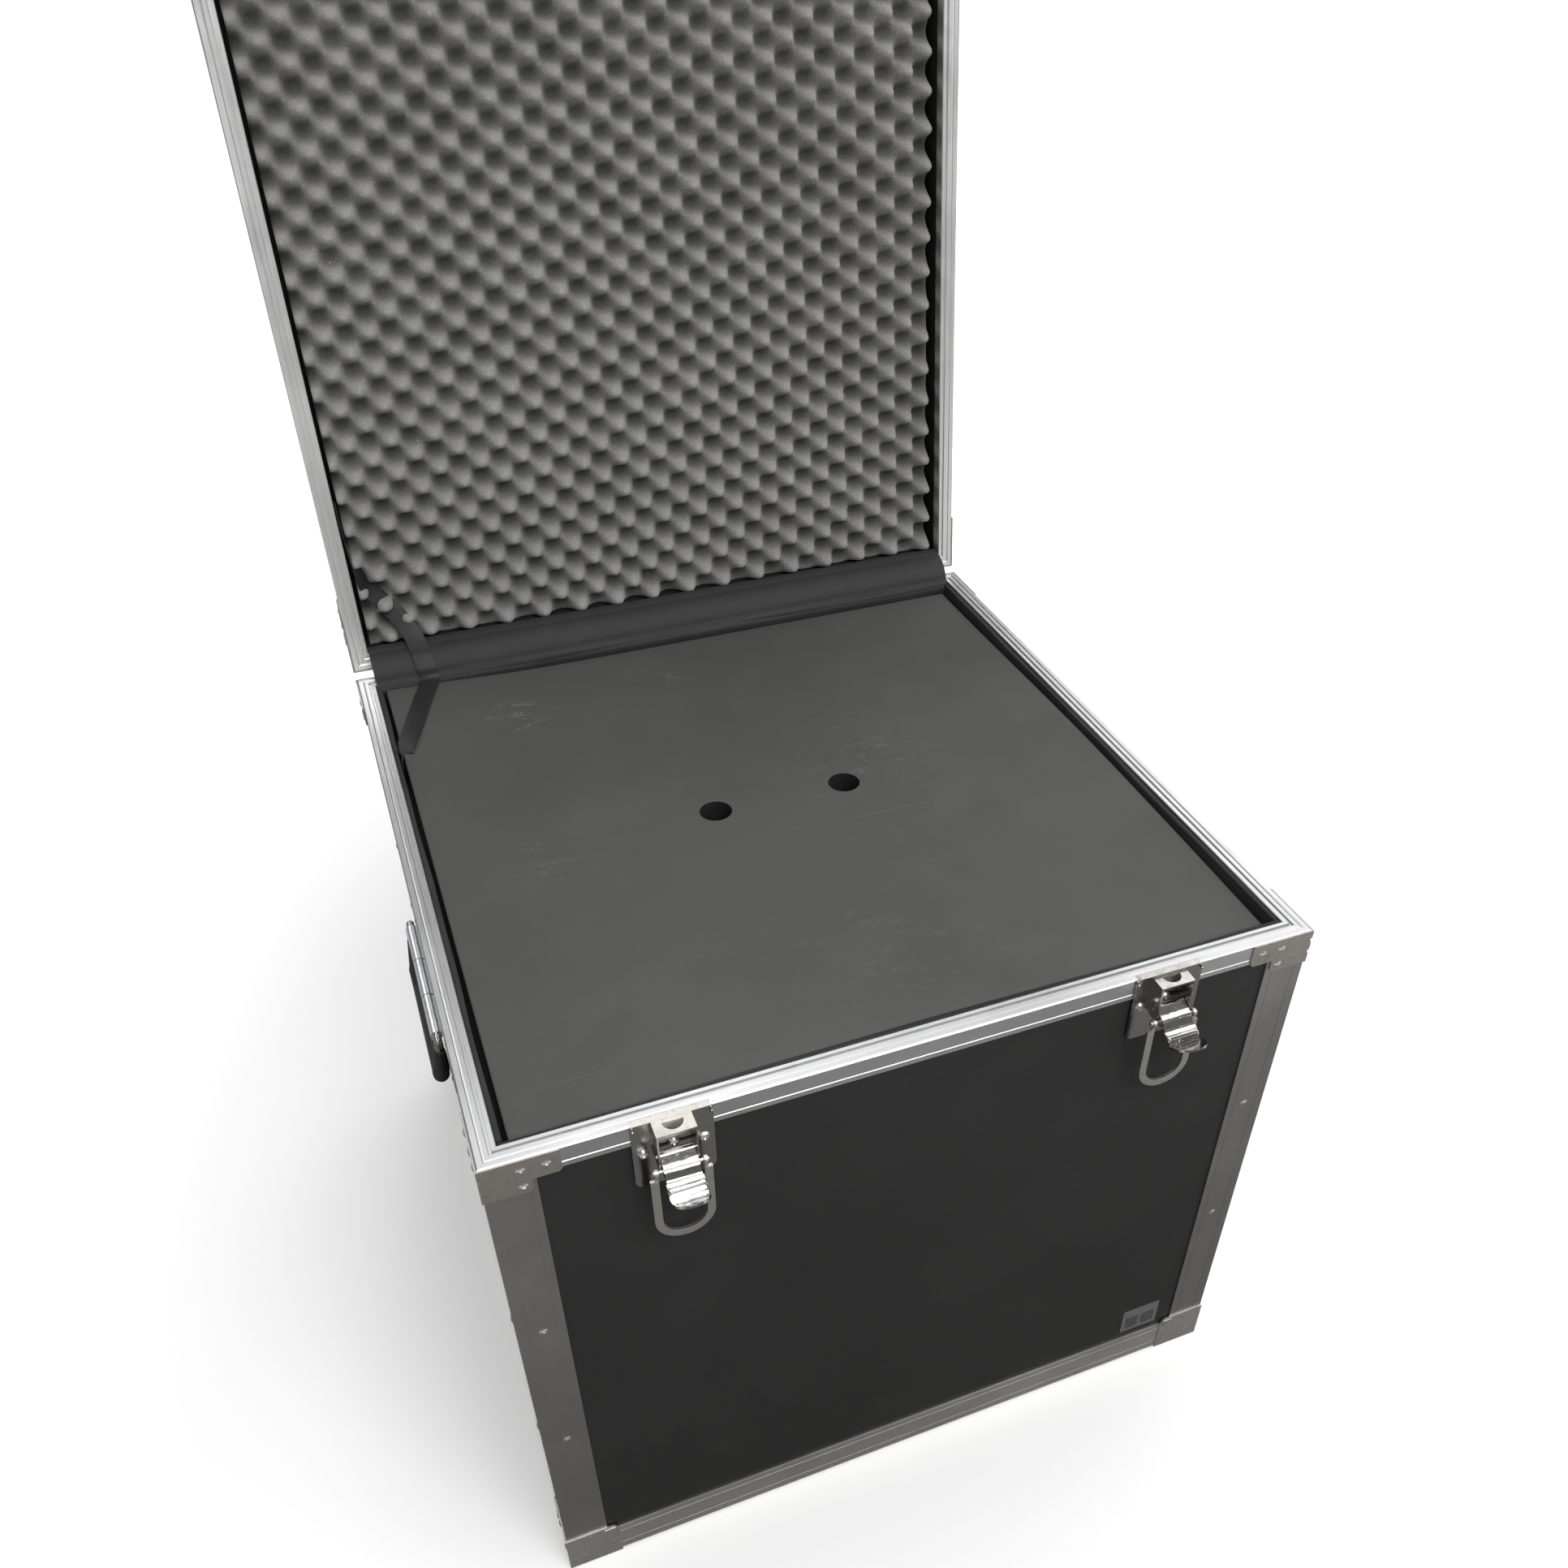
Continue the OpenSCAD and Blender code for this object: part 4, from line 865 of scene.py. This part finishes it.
def strap_rows():
    """Rows of place and sideways direction along the stay strap, from the base's left wall over the pad's
    corner and the flap, down among the foam's knobs and up to the lid's left wall. Also the rows at which it
    leaves the wall and the pad."""
    lift = STRAP_T / 2 + 0.5 * MM

    def on_pad(x, y, extra=0.0):
        return on_base(x, y, pad_top(x, y) + lift + extra)

    wall_x = -INNER + 1.6 * MM
    flat = Vector((0.94, -0.34, 0))
    level = Vector((1, 0, 0))
    on_wall = [(on_base(wall_x, 168 * MM, PAD_HI.z - 9 * MM), Vector((0, 1, 0))),
               (on_base(wall_x, 168.5 * MM, PAD_HI.z - 2 * MM), Vector((0.1, 1, 0))),
               (on_base(wall_x + 1.6 * MM, 171 * MM, PAD_HI.z + 2.2 * MM), Vector((0.45, 0.8, 0.3)))]
    over_pad = [(on_pad(-0.2735, 0.182, 0.4 * MM), Vector((0.85, 0.1, 0.2))),
                (on_pad(-0.2655, 0.203), flat),
                (on_pad(-0.2575, 0.225), flat),
                (on_pad(-0.2495, 0.248), flat),
                (on_pad(-0.242, 0.268, 0.3 * MM), Vector((0.97, -0.25, 0))),
                (on_base(-0.2385, 0.2785, pad_top(-0.2385, 0.277) + 2 * MM), Vector((1, -0.15, 0)))]
    over_flap = [(round_hinge(-0.2375 - 0.004 * s, flap_radius(s) + 2 * MM, s), level)
                 for s in (0.02, 0.2, 0.4, 0.6, 0.8)]
    on_foam = [(on_lid(-0.2425, 0.0285, 1.5 * MM), Vector((1, 0, 0.05))),
               (on_lid(-0.2475, 0.038, 8 * MM), Vector((1, 0.1, 0.3))),
               (on_lid(-0.2545, 0.050, 16 * MM), Vector((1, 0.3, 0.6))),
               (on_lid(-0.2640, 0.063, 17 * MM), Vector((0.8, 0.6, 0.3))),
               (on_lid(-0.2725, 0.077, 17 * MM), Vector((0.6, 0.8, 0.5))),
               (on_lid(-0.2800, 0.098, 14 * MM), Vector((0.2, 0.9, -0.3))),
               (on_lid(-0.2833, 0.130, 9 * MM), Vector((0.0, 0.7, -0.75))),
               (on_lid(-0.2835, 0.156, 9 * MM), Vector((0.0, 0.2, -1)))]
    rows = on_wall + over_pad + over_flap + on_foam
    leaves_wall = len(on_wall) + 1
    leaves_pad = len(on_wall) + len(over_pad) - 1
    return rows, leaves_wall, leaves_pad


def stay_strap():
    """The woven stay strap: one path, cut into three runs at the rows where it leaves the wall and the pad."""
    steps = 8
    rows, first_cut, second_cut = strap_rows()
    path = smooth_path([(*p, *side) for p, side in rows], steps)
    centres = [Vector(row[:3]) for row in path]
    sideways = [Vector(row[3:]) for row in path]
    cuts = (0, first_cut * steps, second_cut * steps, len(path) - 1)
    for name, start, end in zip(("strap_on_pad", "strap_off_pad", "strap_to_lid"), cuts, cuts[1:]):
        strap = ribbon(name, centres, sideways, STRAP_W, STRAP_T, "webbing", rows=(start, end))
        if name == "strap_on_pad":
            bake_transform(strap)
        elif name == "strap_off_pad":
            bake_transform(strap)
        else:
            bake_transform(strap)
            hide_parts("base_strap_end", "lid_strap_end")


# ---------- grips ----------

HANDLE_Z = joints["left_handle_swing"]["pos_m"][2]
AXIS_OUT = 4.6 * MM              # from the case's side to the axis of a handle
BAR_OUT = 3.4 * MM               # and from there to the bar
ARM_TOP = 72.5 * MM              # half the distance between the arms at the axis
ARM_LOW = 59 * MM                # and at the bar


def grips():
    """The moulded grips: a tube round the arms and bar of each handle that thickens towards easy corners."""
    top_radius = 4.4 * MM
    radius = 6.5 * MM
    corner = 15 * MM
    for side, sign in (("left", -1), ("right", 1)):
        low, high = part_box(side + "_handle_grip")
        axis_x = sign * (HALF + AXIS_OUT)
        bar_x = axis_x + sign * BAR_OUT
        top = high.z + 9 * MM
        bar_z = low.z + radius
        drop = HANDLE_Z - bar_z

        def arm(z):
            """Sideways and lengthways place of the arm's middle at a height."""
            share = (HANDLE_Z - z) / drop
            return axis_x + (bar_x - axis_x) * share, ARM_TOP - (ARM_TOP - ARM_LOW) * share

        half = []
        for z in (top, top - 8 * MM, top - 18 * MM, bar_z + corner + 1 * MM):
            x, y = arm(z)
            half.append(Vector((x, MID_Y + y, z)))
        corner_y = arm(bar_z + corner)[1]
        for k in range(1, 8):
            turn = k * math.pi / 16
            half.append(Vector((bar_x, MID_Y + corner_y - corner * (1 - math.cos(turn)),
                                bar_z + corner * (1 - math.sin(turn)))))
        line = half + [Vector((bar_x, MID_Y, bar_z))]
        line += [Vector((p.x, 2 * MID_Y - p.y, p.z)) for p in reversed(half)]
        centres = [Vector(p) for p in smooth_path(line, 3)]
        radii = []
        for centre in centres:
            grown = min(max((top - centre.z) / (26 * MM), 0), 1)
            radii.append(top_radius + (radius - top_radius) * grown)
        radii[0] = radii[-1] = top_radius * 0.8
        grip = tube(side + "_grip", centres, radii, "black_grip")
        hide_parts(side + "_handle_grip")
        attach(grip, side + "_handle")


# ---------- stage ----------


def studio():
    """A plain pale floor, soft lights from behind, the front and the right, and a pale surround."""
    bpy.ops.mesh.primitive_plane_add(size=60, location=(0, 0, -0.6 * MM))
    floor = bpy.context.object
    floor.name = "studio_floor"
    mat, bsdf = material("studio_floor", (0.8, 0.8, 0.8), 0.9, 0.0, 0.0)
    seen = add(mat, "LightPath").outputs["Is Camera Ray"]
    away = add(mat, "VectorMath", {0: place(mat)}, operation="LENGTH").outputs["Value"]
    # metal mirrors a floor that is darker beside the case, as if it stood on a mat
    mirrored = mix_colour(mat, spread(mat, away, 0.9, 2.2, 0, 1), (0.2, 0.198, 0.194), (0.8, 0.8, 0.8))
    link(mat, mix_colour(mat, seen, mirrored, (0.88, 0.88, 0.88)), bsdf, "Base Color")
    link(mat, mix_colour(mat, seen, (0, 0, 0), (1, 1, 1)), bsdf, "Emission Color")
    link(mat, spread(mat, away, 0.6, 3.0, 0.05, 1.0), bsdf, "Emission Strength")
    floor.data.materials.append(mat)

    def area(name, where, target, size, power):
        data = bpy.data.lights.new(name, "AREA")
        data.shape = "RECTANGLE"
        data.size, data.size_y = size
        data.energy = power
        lamp = bpy.data.objects.new(name, data)
        lamp.location = where
        lamp.rotation_euler = (Vector(target) - Vector(where)).to_track_quat("-Z", "Y").to_euler()
        bpy.context.scene.collection.objects.link(lamp)

    # three strips overhead, so that metal mirrors the dark gaps between them
    for x in (-1.9, 0.3, 2.5):
        area("ceiling", (x, 1.2, 3.4), (x - 0.1, 0.5, 0), (1.35, 5.6), 55)
    area("front", (0.3, -2.6, 3.1), (0, 0.3, 0.8), (2.6, 1.6), 95)
    area("right", (3.2, -2.2, 2.2), (0, 0, 0.5), (2.0, 2.0), 35)

    # the camera sees a white surround, which lights the case less than that
    world = bpy.data.worlds.new("surround")
    world.use_nodes = True
    tree = world.node_tree
    back = tree.nodes["Background"]
    paths = tree.nodes.new("ShaderNodeLightPath")
    mixer = tree.nodes.new("ShaderNodeMix")
    mixer.data_type = "FLOAT"
    mixer.inputs[2].default_value = 0.22
    mixer.inputs[3].default_value = 1.0
    tree.links.new(paths.outputs["Is Camera Ray"], mixer.inputs[0])
    tree.links.new(mixer.outputs[0], back.inputs["Strength"])
    back.inputs["Color"].default_value = (1, 1, 1, 1)
    bpy.context.scene.world = world
    bpy.context.scene.view_settings.view_transform = "Standard"


def camera():
    """The camera: high in front of the left corner, looking down into the case."""
    data = bpy.data.cameras.new("camera")
    data.sensor_width = 36
    data.lens = 31.547
    data.shift_x = -0.0321
    data.shift_y = 0.0530
    cam = bpy.data.objects.new("camera", data)
    right = Vector((0.92938, -0.36907, 0.0069))
    forward = Vector((0.29155, 0.72246, -0.62694))
    up = right.cross(forward)
    turn = Matrix((right, up, -forward)).transposed()
    cam.matrix_world = Matrix.Translation(on_base(-0.29917, -0.86242, 1.16381)) @ turn.to_4x4()
    bpy.context.scene.collection.objects.link(cam)
    bpy.context.scene.camera = cam


finish_cad_nodes()
soften_edges(["left_latch_plate", "right_latch_plate", "left_catch", "right_catch"], 0.35 * MM)
soften_edges(["left_pull_loop", "right_pull_loop"], 0.6 * MM)
soften_edges(["left_latch_lever", "right_latch_lever"], 0.25 * MM, angle=50)
soften_edges(["base_corner_caps", "lid_corner_caps", "base_rim_brackets", "lid_rim_brackets"], 0.4 * MM)
egg_crate()
lift_out_pad()
wall_linings()
ledge()
floor_lining()
hinge_flap()
stay_strap()
grips()
studio()
camera()
